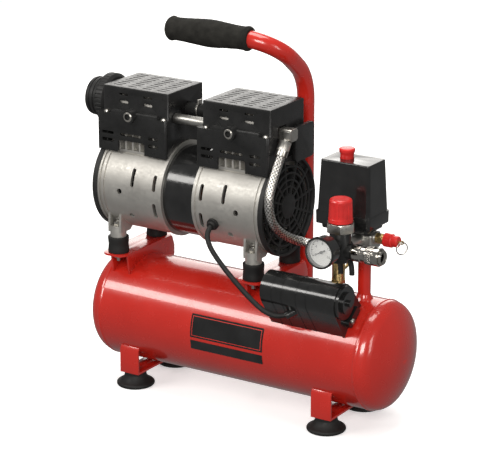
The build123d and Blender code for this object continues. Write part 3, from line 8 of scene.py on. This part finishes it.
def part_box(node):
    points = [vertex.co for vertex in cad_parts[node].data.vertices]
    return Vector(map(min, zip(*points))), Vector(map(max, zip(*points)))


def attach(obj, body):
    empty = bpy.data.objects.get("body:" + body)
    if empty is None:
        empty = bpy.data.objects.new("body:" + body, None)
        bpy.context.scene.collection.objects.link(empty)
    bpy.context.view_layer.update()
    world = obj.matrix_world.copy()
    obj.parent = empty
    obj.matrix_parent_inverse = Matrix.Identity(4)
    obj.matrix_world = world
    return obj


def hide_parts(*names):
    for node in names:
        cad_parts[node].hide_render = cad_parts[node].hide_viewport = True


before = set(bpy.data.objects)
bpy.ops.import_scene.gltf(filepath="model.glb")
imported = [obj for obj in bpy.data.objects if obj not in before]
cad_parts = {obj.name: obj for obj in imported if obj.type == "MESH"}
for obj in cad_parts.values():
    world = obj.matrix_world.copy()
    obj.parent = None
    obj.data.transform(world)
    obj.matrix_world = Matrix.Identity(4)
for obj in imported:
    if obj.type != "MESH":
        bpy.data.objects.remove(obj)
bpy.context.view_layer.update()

# ------------------------------------------------------------------ places and sizes
MM = 0.001
BASE = "compressor"
tank_low, tank_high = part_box("tank_shell")
GROUND = Vector(((tank_low.x + tank_high.x) / 2, (tank_low.y + tank_high.y) / 2, 0))

CAMERA_PLACE = (1430.7, -2247.6, 1067.2)
CAMERA_AZIMUTH = 32.52
CAMERA_ELEVATION = 17.49
CAMERA_LENS = 161.4

HOSE_DIAMETER = 11.5
HOSE_ROUTE = [
    (61, -30.4, 332.5), (61, -44.9, 312.2), (61, -60, 284), (62, -54, 256),
    (64, -34, 236.5), (71, -13, 224), (85, 0, 218), (104, 0, 218),
]
LEAD_DIAMETER = 6.4
LEAD_ROUTE = [
    (-19.5, -57.7, 241.1), (-19.5, -71.9, 236.3), (-12, -79, 221), (3, -79.5, 203),
    (28, -81, 181), (54, -84, 163), (76, -87, 152), (97, -84.5, 149.5), (110, -71.5, 156.7),
]
SWITCH_LEAD_DIAMETER = 6.6
# Both switch leads stop in the air above the capacitor box instead of running down into it.
SWITCH_LEAD_ROUTES = [
    [(126.5, -12, 249), (126.5, -12, 236), (138.5, -26, 223), (150.5, -37, 216), (150.5, -37, 202)],
    [(140.5, -13.5, 249), (140.5, -13.5, 236), (152.5, -27.5, 223), (165.5, -36, 216.5),
     (165.5, -36, 202.5)],
]


def at(x, y, z):
    """A point given in millimetres from the ground under the middle of the tank."""
    return GROUND + Vector((x, y, z)) * MM


# ------------------------------------------------------------------ material tools
class Paint:
    """A principled material with small helpers for the nodes that drive it."""

    def __init__(self, name, color, roughness, metallic=0.0, **sockets):
        self.material = bpy.data.materials.new(name)
        self.material.use_nodes = True
        self.tree = self.material.node_tree
        self.shader = self.tree.nodes["Principled BSDF"]
        self.place = self.tree.nodes.new("ShaderNodeTexCoord").outputs["Object"]
        self.set("Base Color", (*color, 1.0))
        self.set("Roughness", roughness)
        self.set("Metallic", metallic)
        for socket, value in sockets.items():
            self.set(socket.replace("_", " ").title().replace("Ior", "IOR"), value)
        self.height = None

    def set(self, socket, value):
        self.shader.inputs[socket].default_value = value

    def node(self, kind, **values):
        made = self.tree.nodes.new(kind)
        for key, value in values.items():
            setattr(made, key, value)
        return made

    def feed(self, made, socket, source):
        if isinstance(source, (int, float)):
            made.inputs[socket].default_value = source
        else:
            self.tree.links.new(source, made.inputs[socket])

    def stretched(self, scale):
        """The object's own coordinates, stretched along its axes."""
        mapping = self.node("ShaderNodeMapping")
        self.feed(mapping, "Vector", self.place)
        mapping.inputs["Scale"].default_value = scale
        return mapping.outputs["Vector"]

    def noise(self, scale, detail=4.0, roughness=0.55, place=None):
        made = self.node("ShaderNodeTexNoise")
        self.feed(made, "Vector", place or self.place)
        self.feed(made, "Scale", scale)
        self.feed(made, "Detail", detail)
        self.feed(made, "Roughness", roughness)
        return made.outputs["Fac"]

    def cells(self, scale):
        made = self.node("ShaderNodeTexVoronoi")
        self.feed(made, "Vector", self.place)
        self.feed(made, "Scale", scale)
        return made.outputs["Distance"]

    def spread(self, source, low, high):
        """A value from 0 to 1 mapped onto low to high."""
        made = self.node("ShaderNodeMapRange")
        self.feed(made, "Value", source)
        self.feed(made, "From Min", 0.3)
        self.feed(made, "From Max", 0.7)
        self.feed(made, "To Min", low)
        self.feed(made, "To Max", high)
        return made.outputs["Result"]

    def vary_color(self, source, first, second):
        """The base colour runs from first to second with the source."""
        made = self.node("ShaderNodeMix", data_type="RGBA")
        self.feed(made, 0, self.spread(source, 0.0, 1.0))
        made.inputs["A"].default_value = (*first, 1.0)
        made.inputs["B"].default_value = (*second, 1.0)
        self.tree.links.new(made.outputs["Result"], self.shader.inputs["Base Color"])
        return self

    def vary_roughness(self, source, low, high):
        self.tree.links.new(self.spread(source, low, high), self.shader.inputs["Roughness"])
        return self

    def relief(self, source, depth, strength=1.0):
        """Adds a bump of that depth in metres on top of what is there already."""
        made = self.node("ShaderNodeBump")
        self.feed(made, "Height", source)
        self.feed(made, "Distance", depth)
        self.feed(made, "Strength", strength)
        if self.height is not None:
            self.feed(made, "Normal", self.height)
        self.height = made.outputs["Normal"]
        self.tree.links.new(self.height, self.shader.inputs["Normal"])
        return self


# ------------------------------------------------------------------ materials
def red_enamel():
    paint = Paint("red_enamel", (0.50, 0.016, 0.013), 0.26, coat_weight=0.7, coat_roughness=0.06)
    paint.vary_color(paint.noise(18, 3), (0.53, 0.018, 0.010), (0.58, 0.022, 0.013))
    paint.vary_roughness(paint.noise(60, 4), 0.20, 0.30)
    return paint.relief(paint.noise(420, 2), 0.00006, 0.5).material


def cast_aluminium():
    paint = Paint("cast_aluminium", (0.52, 0.50, 0.47), 0.5, 0.85)
    paint.vary_color(paint.noise(35, 5), (0.47, 0.455, 0.425), (0.57, 0.555, 0.52))
    paint.vary_roughness(paint.noise(300, 4), 0.42, 0.60)
    paint.relief(paint.cells(1500), 0.00012, 0.35)
    return paint.relief(paint.noise(2600, 3), 0.00010, 0.5).material


def moulded(name, color, roughness, grain, **sockets):
    """Injection-moulded plastic with a fine spark-eroded grain and faint handling marks."""
    paint = Paint(name, color, roughness, **sockets)
    worn = tuple(min(1.0, c * 1.5 + 0.004) for c in color)
    paint.vary_color(paint.noise(45, 5), color, worn)
    paint.vary_roughness(paint.noise(130, 5), roughness - 0.06, roughness + 0.08)
    return paint.relief(paint.noise(grain, 3), 0.00008, 0.4).material


def rubber():
    paint = Paint("rubber", (0.010, 0.010, 0.010), 0.5, specular_ior_level=0.35)
    paint.vary_color(paint.noise(60, 5), (0.008, 0.008, 0.008), (0.016, 0.0155, 0.015))
    paint.vary_roughness(paint.noise(200, 4), 0.52, 0.72)
    return paint.relief(paint.noise(1400, 4), 0.00010, 0.5).material


def foam():
    paint = Paint("foam", (0.018, 0.017, 0.016), 0.9, specular_ior_level=0.2)
    paint.vary_color(paint.noise(90, 6), (0.012, 0.0115, 0.010), (0.026, 0.025, 0.022))
    paint.relief(paint.cells(1300), 0.00035, 0.6)
    return paint.relief(paint.noise(3000, 3), 0.00012, 0.5).material


def bare_metal(name, color, roughness, brush=0.0, scratches=0.2):
    """Turned or plated metal: faint tool marks across X and small stains."""
    paint = Paint(name, color, roughness, 1.0)
    darker = tuple(c * 0.86 for c in color)
    paint.vary_color(paint.noise(70, 5), darker, color)
    paint.vary_roughness(paint.noise(260, 5), max(0.03, roughness - 0.05), roughness + 0.08)
    if brush:
        marks = paint.noise(1.0, 2, place=paint.stretched((4500, 350, 350)))
        paint.relief(marks, 0.00004, brush)
    return paint.relief(paint.noise(700, 5), 0.00003, scratches).material


def braid_wire():
    paint = Paint("braid_wire", (0.70, 0.68, 0.64), 0.30, 1.0)
    paint.vary_color(paint.noise(900, 3), (0.72, 0.70, 0.66), (0.90, 0.88, 0.84))
    paint.vary_roughness(paint.noise(1500, 2), 0.22, 0.42)
    wires = paint.node("ShaderNodeUVMap").outputs["UV"]
    mapping = paint.node("ShaderNodeMapping")
    paint.feed(mapping, "Vector", wires)
    mapping.inputs["Scale"].default_value = (190, 1500, 1)
    return paint.relief(paint.noise(1.0, 1, place=mapping.outputs["Vector"]), 0.00015, 0.7).material


def copper_winding():
    paint = Paint("copper_winding", (0.62, 0.25, 0.10), 0.35, 1.0, coat_weight=0.5)
    strands = paint.noise(1.0, 2, place=paint.stretched((300, 2200, 2200)))
    paint.vary_color(strands, (0.45, 0.15, 0.05), (0.72, 0.32, 0.14))
    return paint.relief(strands, 0.0003, 0.6).material


def laminated_steel():
    paint = Paint("laminated_steel", (0.40, 0.40, 0.41), 0.42, 1.0)
    sheets = paint.noise(1.0, 1, place=paint.stretched((2600, 20, 20)))
    paint.vary_color(sheets, (0.25, 0.25, 0.26), (0.50, 0.50, 0.51))
    return paint.relief(sheets, 0.0002, 0.6).material


def dial_face():
    paint = Paint("dial_face", (0.86, 0.86, 0.83), 0.45)
    paint.vary_color(paint.noise(120, 3), (0.82, 0.82, 0.79), (0.88, 0.88, 0.86))
    return paint.relief(paint.noise(2500, 2), 0.00002, 0.3).material


def printed(name, color):
    paint = Paint(name, color, 0.5)
    brighter = tuple(min(1.0, c * 1.25 + 0.01) for c in color)
    paint.vary_color(paint.noise(700, 3), color, brighter)
    return paint.relief(paint.noise(3000, 2), 0.00001, 0.3).material


def window():
    paint = Paint("window", (0.97, 0.98, 0.98), 0.04, alpha=0.14)
    return paint.relief(paint.noise(40, 2), 0.00002, 0.2).material


LOOKS = {
    "red_enamel": red_enamel(),
    "cast_aluminium": cast_aluminium(),
    "black_cover": moulded("black_cover", (0.010, 0.010, 0.010), 0.30, 1600, specular_ior_level=0.4),
    "gloss_black": moulded("gloss_black", (0.008, 0.008, 0.008), 0.15, 900, coat_weight=0.3),
    "matt_black": moulded("matt_black", (0.011, 0.011, 0.011), 0.50, 1800, specular_ior_level=0.35),
    "red_plastic": moulded("red_plastic", (0.52, 0.016, 0.014), 0.32, 1500, coat_weight=0.25),
    "rubber": rubber(),
    "foam": foam(),
    "zinc": bare_metal("zinc", (0.55, 0.53, 0.49), 0.30, 0.3),
    "die_cast": bare_metal("die_cast", (0.52, 0.51, 0.48), 0.38, 0.0, 0.6),
    "steel": bare_metal("steel", (0.60, 0.60, 0.60), 0.24, 0.4),
    "chrome": bare_metal("chrome", (0.50, 0.48, 0.44), 0.16),
    "brass": bare_metal("brass", (0.60, 0.43, 0.19), 0.28, 0.3),
    "braid": braid_wire(),
    # Painted shade: a dark dull metal laid on the low faces between the braid's strands.
    "braid_painted_shade": bare_metal("braid_painted_shade", (0.07, 0.066, 0.06), 0.6),
    "copper": copper_winding(),
    "laminated": laminated_steel(),
    "dial": dial_face(),
    "ink": printed("ink", (0.015, 0.015, 0.015)),
    "red_ink": printed("red_ink", (0.62, 0.03, 0.02)),
    "window": window(),
}

# Look and edge rounding in millimetres of every CAD node that stays.
NODE_LOOKS = {
    "tank_shell": ("red_enamel", 0.0),
    "tank_brackets": ("red_enamel", 0.6),
    "handle_tube": ("red_enamel", 0.0),
    "rubber_feet": ("rubber", 0.0),
    "vibration_mounts": ("rubber", 0.6),
    "frame_bolts": ("zinc", 0.3),
    "name_panel": ("gloss_black", 0.0),
    "drain_screw": ("brass", 0.2),
    "stator": ("gloss_black", 0.0),
    "stator_windings": ("copper", 0.0),
    "shaft_bearings": ("steel", 0.2),
    "motor_shaft": ("steel", 0.3),
    "rotor_core": ("laminated", 0.3),
    "cooling_fans": ("matt_black", 0.0),
    "cylinders": ("cast_aluminium", 0.2),
    "cylinder_heads": ("cast_aluminium", 0.4),
    "head_bolts": ("zinc", 0.2),
    "cover_fittings": ("zinc", 0.15),
    "air_filter": ("matt_black", 0.3),
    "air_filter_cap": ("matt_black", 0.3),
    "rear_filter": ("black_cover", 0.5),
    "crossover_pipe": ("die_cast", 0.2),
    "intake_hose": ("rubber", 0.15),
    "delivery_fittings": ("zinc", 0.3),
    "check_valve": ("brass", 0.3),
    "unloader_tube": ("brass", 0.0),
    "manifold": ("die_cast", 0.4),
    "switch_base": ("black_cover", 0.3),
    "switch_cover": ("gloss_black", 0.4),
    "switch_mechanism": ("matt_black", 0.3),
    "switch_knob": ("red_plastic", 0.4),
    "regulator_body": ("black_cover", 0.4),
    "regulator_bonnet": ("zinc", 0.3),
    "regulator_spindle": ("brass", 0.2),
    "regulator_knob": ("red_plastic", 0.0),
    "gauge_case": ("gloss_black", 0.0),
    "gauge_dial": ("dial", 0.0),
    "gauge_needle": ("ink", 0.0),
    "gauge_lens": ("window", 0.1),
    "coupler_body": ("chrome", 0.25),
    "coupler_sleeve": ("chrome", 0.15),
    "safety_body": ("brass", 0.25),
    "safety_cap": ("red_plastic", 0.0),
    "safety_stem": ("brass", 0.1),
    "safety_ring": ("zinc", 0.0),
    "capacitor_box": ("gloss_black", 0.0),
    "capacitor": ("zinc", 0.0),
    "lead_gland": ("rubber", 0.3),
    "crankcase_left": ("cast_aluminium", 0.0),
    "crankcase_right": ("cast_aluminium", 0.0),
    "piston_left": ("steel", 0.3),
    "piston_right": ("steel", 0.3),
    "head_cover_left": ("black_cover", 0.35),
    "head_cover_right": ("black_cover", 0.35),
    "fan_cover_left": ("matt_black", 0.35),
    "fan_cover_right": ("matt_black", 0.35),
}


# ------------------------------------------------------------------ shading of meshes
SHARP = math.radians(34)
ROUNDED = math.radians(40)
WELD_DISTANCE = 1e-6


def smooth(obj):
    """Smooth shading that stays crisp at sharp edges."""
    obj.data.polygons.foreach_set("use_smooth", [True] * len(obj.data.polygons))
    split = obj.modifiers.new("crisp", "EDGE_SPLIT")
    split.split_angle = SHARP


def round_edges(obj, width):
    """A small round on the sharp edges; without a width the exact CAD normals stay."""
    if not width:
        return
    custom = obj.data.attributes.get("custom_normal")
    if custom:
        obj.data.attributes.remove(custom)
    weld = obj.modifiers.new("weld", "WELD")
    weld.merge_threshold = WELD_DISTANCE
    bevel = obj.modifiers.new("edges", "BEVEL")
    bevel.width = width * MM
    bevel.segments = 2
    bevel.limit_method = "ANGLE"
    bevel.angle_limit = ROUNDED
    bevel.use_clamp_overlap = True
    smooth(obj)


def dress(node, look, width):
    """Material and edge rounding of a CAD node."""
    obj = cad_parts[node]
    obj.data.materials.clear()
    obj.data.materials.append(LOOKS[look])
    round_edges(obj, width)


def second_look(node, look, rule):
    """A second material on the faces of a CAD node whose centre meets the rule."""
    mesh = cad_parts[node].data
    mesh.materials.append(LOOKS[look])
    for face in mesh.polygons:
        if rule(face.center):
            face.material_index = 1


def add_mesh(name, build, look, body=BASE):
    """A new piece from a bmesh-building function."""
    work = bmesh.new()
    build(work)
    mesh = bpy.data.meshes.new(name)
    work.to_mesh(mesh)
    work.free()
    obj = bpy.data.objects.new(name, mesh)
    bpy.context.scene.collection.objects.link(obj)
    mesh.materials.append(LOOKS[look])
    smooth(obj)
    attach(obj, body)
    return obj


# ------------------------------------------------------------------ cords
def spline(name, route, bevel_mm=0.0):
    """A smooth rubber-coated curve along a route, as a bare line or a round cord."""
    curve = bpy.data.curves.new(name, "CURVE")
    curve.dimensions = "3D"
    curve.resolution_u = 16
    curve.bevel_depth = bevel_mm * MM
    curve.bevel_resolution = 8
    curve.use_fill_caps = True
    line = curve.splines.new("NURBS")
    line.points.add(len(route) - 1)
    for point, place in zip(line.points, route):
        point.co = (*at(*place), 1.0)
    line.order_u = 3
    line.use_endpoint_u = True
    curve.materials.append(LOOKS["rubber"])
    obj = bpy.data.objects.new(name, curve)
    bpy.context.scene.collection.objects.link(obj)
    return obj


def line_points(obj):
    """The points of a bare curve, as the renderer divides it."""
    mesh = bpy.data.meshes.new_from_object(obj)
    points = [vertex.co.copy() for vertex in mesh.vertices]
    bpy.data.meshes.remove(mesh)
    return points


def line_length(points):
    return sum((b - a).length for a, b in zip(points, points[1:]))


def resample(points, step):
    """Points at even steps along a line."""
    total = line_length(points)
    count = max(2, round(total / step))
    wanted = [total * k / count for k in range(count + 1)]
    made, walked, index = [], 0.0, 0
    for target in wanted:
        while index < len(points) - 2 and walked + (points[index + 1] - points[index]).length < target:
            walked += (points[index + 1] - points[index]).length
            index += 1
        part = points[index + 1] - points[index]
        share = (target - walked) / part.length if part.length else 0.0
        made.append(points[index] + part * min(1.0, share))
    return made


def travelling_frames(points):
    """Tangent and two side directions that don't twist along the line."""
    side = None
    for k, point in enumerate(points):
        ahead = points[min(k + 1, len(points) - 1)] - points[max(k - 1, 0)]
        ahead.normalize()
        if side is None:
            side = ahead.cross(Vector((0, 0, 1))).normalized()
        side = (side - ahead * side.dot(ahead)).normalized()
        yield point, side, ahead.cross(side)


BRAID_STRANDS = 8
BRAID_PITCH = 38.0
BRAID_ROUND = 120
BRAID_STEP = 0.5
BRAID_DEPTH = 0.5
# Faces of the braid below this share of its height get the painted shade.
BRAID_SHADE_HEIGHT = 0.66


def braid_height(turn, run):
    """Height of the woven surface, 0 to 1, at an angle and a distance along the hose."""
    first = BRAID_STRANDS * (turn + 2 * math.pi * run / BRAID_PITCH) / 2
    second = BRAID_STRANDS * (turn - 2 * math.pi * run / BRAID_PITCH) / 2
    over = 0.72 + 0.28 * math.sin(first * 2) * math.sin(second * 2)
    under = 1.44 - over
    return max(abs(math.sin(first)) ** 0.6 * over, abs(math.sin(second)) ** 0.6 * under)


def braided_tube(points, radius):
    """Builds the woven sleeve of the hose round its line, with painted shade on the low faces between the
    strands.
    """
    def build(work):
        uv = work.loops.layers.uv.new("UVMap")
        rings = []
        for k, (point, side, up) in enumerate(travelling_frames(points)):
            ring = []
            for j in range(BRAID_ROUND):
                turn = 2 * math.pi * j / BRAID_ROUND
                lift = braid_height(turn, k * BRAID_STEP) * BRAID_DEPTH * MM
                reach = radius - BRAID_DEPTH * MM + lift
                ring.append(work.verts.new(point + (side * math.cos(turn) + up * math.sin(turn)) * reach))
            rings.append(ring)
        for k, (ring, following) in enumerate(zip(rings, rings[1:])):
            for j in range(BRAID_ROUND):
                i = (j + 1) % BRAID_ROUND
                face = work.faces.new((ring[j], ring[i], following[i], following[j]))
                for loop, (dj, dk) in zip(face.loops, ((0, 0), (1, 0), (1, 1), (0, 1))):
                    loop[uv].uv = ((j + dj) / BRAID_ROUND, (k + dk) * BRAID_STEP * MM)
                middle = 2 * math.pi * (j + 0.5) / BRAID_ROUND
                # Painted shade: low faces between the strands take the second, dark material.
                face.material_index = int(braid_height(middle, (k + 0.5) * BRAID_STEP) < BRAID_SHADE_HEIGHT)
        work.faces.new(rings[0][::-1])
        work.faces.new(rings[-1])
    return build


def braided_hose():
    guide = spline("hose_guide", HOSE_ROUTE)
    points = resample(line_points(guide), BRAID_STEP * MM)
    bpy.data.objects.remove(guide)
    hose = add_mesh("hose_braid", braided_tube(points, HOSE_DIAMETER / 2 * MM), "braid")
    # The second material is the painted shade between the strands.
    hose.data.materials.append(LOOKS["braid_painted_shade"])
    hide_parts("braided_hose")
    line_length(points)


def lead(name, route, diameter, node):
    """An electric lead: a round cord along its route, in place of its CAD node."""
    bare = spline(name + "_guide", route)
    length = line_length(line_points(bare))
    bpy.data.objects.remove(bare)
    obj = spline(name, route, diameter / 2)
    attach(obj, BASE)
    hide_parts(node)


# ------------------------------------------------------------------ grip
GRIP_RINGS = 140
GRIP_ROUND = 72
GRIP_BASE = 14.3
GRIP_FLARE = 2.1
GRIP_SWELL = 2.9
FLARE_SPREAD = 0.05
SWELL_SPREAD = 0.24
DENT_SCALE = 160
DENT_DEPTH = 0.00025


def grip_radius(share):
    """Radius of the foam sleeve in millimetres: flared ends, two waists and a full middle."""
    flare = math.exp(-((share / FLARE_SPREAD) ** 2)) + math.exp(-(((1 - share) / FLARE_SPREAD) ** 2))
    swell = math.exp(-(((share - 0.5) / SWELL_SPREAD) ** 2))
    edge = min(1.0, 14.0 * min(share, 1 - share) + 0.55)
    return (GRIP_BASE + GRIP_FLARE * flare + GRIP_SWELL * swell) * edge ** 0.35


def grip_build(work):
    low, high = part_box("handle_grip")
    middle = (low + high) / 2
    rings = []
    for k in range(GRIP_RINGS + 1):
        share = k / GRIP_RINGS
        x = low.x + (high.x - low.x) * share
        radius = grip_radius(share) * MM
        ring = []
        for j in range(GRIP_ROUND):
            turn = 2 * math.pi * j / GRIP_ROUND
            place = Vector((x, middle.y + radius * math.cos(turn), middle.z + radius * math.sin(turn)))
            dent = noise.noise(place * DENT_SCALE) * DENT_DEPTH
            out = Vector((0, math.cos(turn), math.sin(turn)))
            ring.append(work.verts.new(place + out * dent))
        rings.append(ring)
    for ring, following in zip(rings, rings[1:]):
        for j in range(GRIP_ROUND):
            i = (j + 1) % GRIP_ROUND
            work.faces.new((ring[j], following[j], following[i], ring[i]))
    work.faces.new(rings[0])
    work.faces.new(rings[-1][::-1])


def foam_grip():
    grip = add_mesh("foam_grip", grip_build, "foam")
    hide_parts("handle_grip")


# ------------------------------------------------------------------ gauge printing
DIAL_START = 208.0
DIAL_SWEEP = 240.0
DIAL_ARC_STEPS = 48
DIAL_MARKS = 40
MARKS_PER_LONG = 5
NUMBER_SIZE = 0.0047
NUMBER_REACH = 0.58
INK_LIFT = 0.00012


def dial_place():
    low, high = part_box("gauge_dial")
    return Vector(((low.x + high.x) / 2, low.y, (low.z + high.z) / 2)), (high.x - low.x) / 2


def dial_angle(share):
    """Angle on the dial, anticlockwise from +X as seen from the front, for a share of the sweep."""
    return math.radians(DIAL_START - DIAL_SWEEP * share)


def dial_arc(work, first, last, inner, outer, lift):
    """A flat curved band on the dial between two shares of the sweep and two shares of its radius."""
    centre, radius = dial_place()
    pairs = []
    for k in range(DIAL_ARC_STEPS + 1):
        angle = dial_angle(first + (last - first) * k / DIAL_ARC_STEPS)
        way = Vector((math.cos(angle), 0, math.sin(angle)))
        front = Vector((0, -lift, 0))
        pairs.append([work.verts.new(centre + way * radius * r + front) for r in (inner, outer)])
    for (a, b), (c, d) in zip(pairs, pairs[1:]):
        work.faces.new((a, c, d, b))


def dial_ticks(work):
    """Long and short scale marks."""
    centre, radius = dial_place()
    for k in range(DIAL_MARKS + 1):
        angle = dial_angle(k / DIAL_MARKS)
        is_long = k % MARKS_PER_LONG == 0
        inner = 0.74 if is_long else 0.81
        half = (0.026 if is_long else 0.013) * radius
        way = Vector((math.cos(angle), 0, math.sin(angle)))
        across = Vector((-way.z, 0, way.x)) * half
        front = Vector((0, -INK_LIFT, 0))
        ends = [centre + way * radius * r + front for r in (inner, 0.88)]
        work.faces.new([work.verts.new(p) for p in (
            ends[0] - across, ends[0] + across, ends[1] + across, ends[1] - across)])


def dial_number(text, share):
    centre, radius = dial_place()
    angle = dial_angle(share)
    curve = bpy.data.curves.new("dial_number_" + text, "FONT")
    curve.body = text
    curve.size = NUMBER_SIZE
    curve.align_x = "CENTER"
    curve.align_y = "CENTER"
    curve.extrude = 0.00002
    curve.materials.append(LOOKS["ink"])
    obj = bpy.data.objects.new("dial_number_" + text, curve)
    bpy.context.scene.collection.objects.link(obj)
    way = Vector((math.cos(angle), 0, math.sin(angle)))
    place = centre + way * radius * NUMBER_REACH + Vector((0, -0.00014, 0))
    obj.matrix_world = Matrix.Translation(place) @ Matrix.Rotation(math.radians(90), 4, "X")
    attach(obj, BASE)


def gauge_printing():
    add_mesh("dial_scale", dial_ticks, "ink")
    add_mesh("dial_band", lambda work: dial_arc(work, 0.0, 1.0, 0.885, 0.90, 0.00011), "ink")
    add_mesh("dial_limit", lambda work: dial_arc(work, 0.62, 1.0, 0.90, 0.97, INK_LIFT), "red_ink")
    for step, text in enumerate(("0", "4", "8", "12", "16")):
        dial_number(text, step / 4)


# ------------------------------------------------------------------ panel lines on the tank
PANEL_X = (-47.0, 59.0)
PANEL_Z = (-1.5, 28.0)
PANEL_INSET = 2.2
PANEL_LINE = 0.7
PANEL_RADIUS = 69.5
TANK_AXIS_Z = 93.3
PANEL_STEPS = 16


def on_tank(x, height):
    """A point on the front of the tank's panel, by its height above the tank's axis."""
    return at(x, -math.sqrt(PANEL_RADIUS**2 - height**2), TANK_AXIS_Z + height)


def panel_lines(work):
    """A thin frame line inside the edge of the blank panel."""
    x0, x1 = PANEL_X[0] + PANEL_INSET, PANEL_X[1] - PANEL_INSET
    z0, z1 = PANEL_Z[0] + PANEL_INSET, PANEL_Z[1] - PANEL_INSET
    spans = [
        (x0, x1, z0, z0 + PANEL_LINE), (x0, x1, z1 - PANEL_LINE, z1),
        (x0, x0 + PANEL_LINE, z0, z1), (x1 - PANEL_LINE, x1, z0, z1),
    ]
    for a, b, low, high in spans:
        rows = [low + (high - low) * k / PANEL_STEPS for k in range(PANEL_STEPS + 1)]
        pairs = [[work.verts.new(on_tank(x, height)) for x in (a, b)] for height in rows]
        for (p, q), (r, s) in zip(pairs, pairs[1:]):
            work.faces.new((p, q, s, r))


# ------------------------------------------------------------------ studio
def studio_floor():
    bpy.ops.mesh.primitive_plane_add(size=30, location=(0, 0, 0))
    floor = bpy.context.object
    floor.name = "studio_floor"
    paint = Paint("studio_paper", (0.93, 0.93, 0.93), 0.9)
    paint.vary_color(paint.noise(3, 2), (0.92, 0.92, 0.92), (0.94, 0.94, 0.94))
    paint.set("Emission Color", (1.0, 1.0, 1.0, 1.0))
    paint.set("Emission Strength", 0.45)
    floor.data.materials.append(paint.material)
    floor.visible_glossy = False
    floor.visible_diffuse = False


def soft_light(name, place, target, size, power, shape=1.0):
    """A rectangular soft box that faces a point."""
    data = bpy.data.lights.new(name, "AREA")
    data.shape = "RECTANGLE"
    data.size = size
    data.size_y = size * shape
    data.energy = power
    data.color = (1.0, 0.975, 0.935)
    obj = bpy.data.objects.new(name, data)
    bpy.context.scene.collection.objects.link(obj)
    obj.location = place
    obj.rotation_mode = "QUATERNION"
    obj.rotation_quaternion = (Vector(target) - Vector(place)).to_track_quat("-Z", "Y")
    obj.visible_camera = False


def studio_light():
    world = bpy.data.worlds.new("studio")
    world.use_nodes = True
    world.node_tree.nodes["Background"].inputs["Color"].default_value = (1.0, 1.0, 1.0, 1.0)
    world.node_tree.nodes["Background"].inputs["Strength"].default_value = 0.22
    bpy.context.scene.world = world
    soft_light("key", (-1.19, -1.36, 1.37), (0, 0, 0.12), 1.1, 17, 0.42)
    soft_light("front", (0.9, -1.9, 1.1), (0, 0, 0.2), 0.9, 27, 0.8)
    soft_light("right", (2.2, -0.6, 0.8), (0, 0, 0.2), 0.5, 9, 2.0)
    soft_light("top", (0.0, 0.15, 2.2), (0, 0, 0.2), 1.3, 30)
    soft_light("back", (-1.15, 1.75, 1.15), (0, 0, 0.3), 1.8, 22)


def camera():
    data = bpy.data.cameras.new("camera")
    data.lens = CAMERA_LENS
    data.sensor_width = 36
    data.clip_start, data.clip_end = 0.1, 50
    obj = bpy.data.objects.new("camera", data)
    bpy.context.scene.collection.objects.link(obj)
    azimuth, elevation = math.radians(CAMERA_AZIMUTH), math.radians(CAMERA_ELEVATION)
    forward = Vector((-math.sin(azimuth) * math.cos(elevation),
                      math.cos(azimuth) * math.cos(elevation), -math.sin(elevation)))
    obj.location = at(*CAMERA_PLACE)
    obj.rotation_mode = "QUATERNION"
    obj.rotation_quaternion = forward.to_track_quat("-Z", "Y")
    bpy.context.scene.camera = obj
    bpy.context.scene.view_settings.view_transform = "Standard"


# ------------------------------------------------------------------ second looks
PLUG_X = (-150.2, -0.8)
PLUG_Z = 356.5
PLUG_RECESS = 4.05
PLUG_FRONT_Y = -40
GAUGE_STEM_Y = -83.9
CLAMP_OUTER = 9.3
CLAMP_INNER = 8.2


def in_plug_recess(centre):
    """True inside the hollow of a cover's ringed plug."""
    return centre.y < at(0, PLUG_FRONT_Y, 0).y and any(
        math.hypot(centre.x - at(x, 0, 0).x, centre.z - PLUG_Z * MM) < PLUG_RECESS * MM for x in PLUG_X)


def on_gauge_stem(centre):
    """True on the threaded stem behind the gauge's case."""
    return centre.y > at(0, GAUGE_STEM_Y, 0).y


def hose_clamp_rule():
    """A rule that is true on the clamps of the hose between the heads, which stand proud of its rubber."""
    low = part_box("intake_hose")[0]
    axis_y = low.y + CLAMP_OUTER * MM
    axis_z = low.z + CLAMP_OUTER * MM
    return lambda centre: math.hypot(centre.y - axis_y, centre.z - axis_z) > CLAMP_INNER * MM


# ------------------------------------------------------------------ assembly
for node_name, (look_name, edge) in NODE_LOOKS.items():
    dress(node_name, look_name, edge)

second_look("intake_hose", "zinc", hose_clamp_rule())
second_look("gauge_case", "brass", on_gauge_stem)
second_look("cover_fittings", "matt_black", in_plug_recess)

braided_hose()
lead("motor_lead_cord", LEAD_ROUTE, LEAD_DIAMETER, "motor_lead")
for number, lead_route in enumerate(SWITCH_LEAD_ROUTES, 1):
    lead("switch_lead_%d" % number, lead_route, SWITCH_LEAD_DIAMETER, "switch_leads")
foam_grip()
gauge_printing()
add_mesh("panel_frame", panel_lines, "red_ink")

camera()
studio_floor()
studio_light()
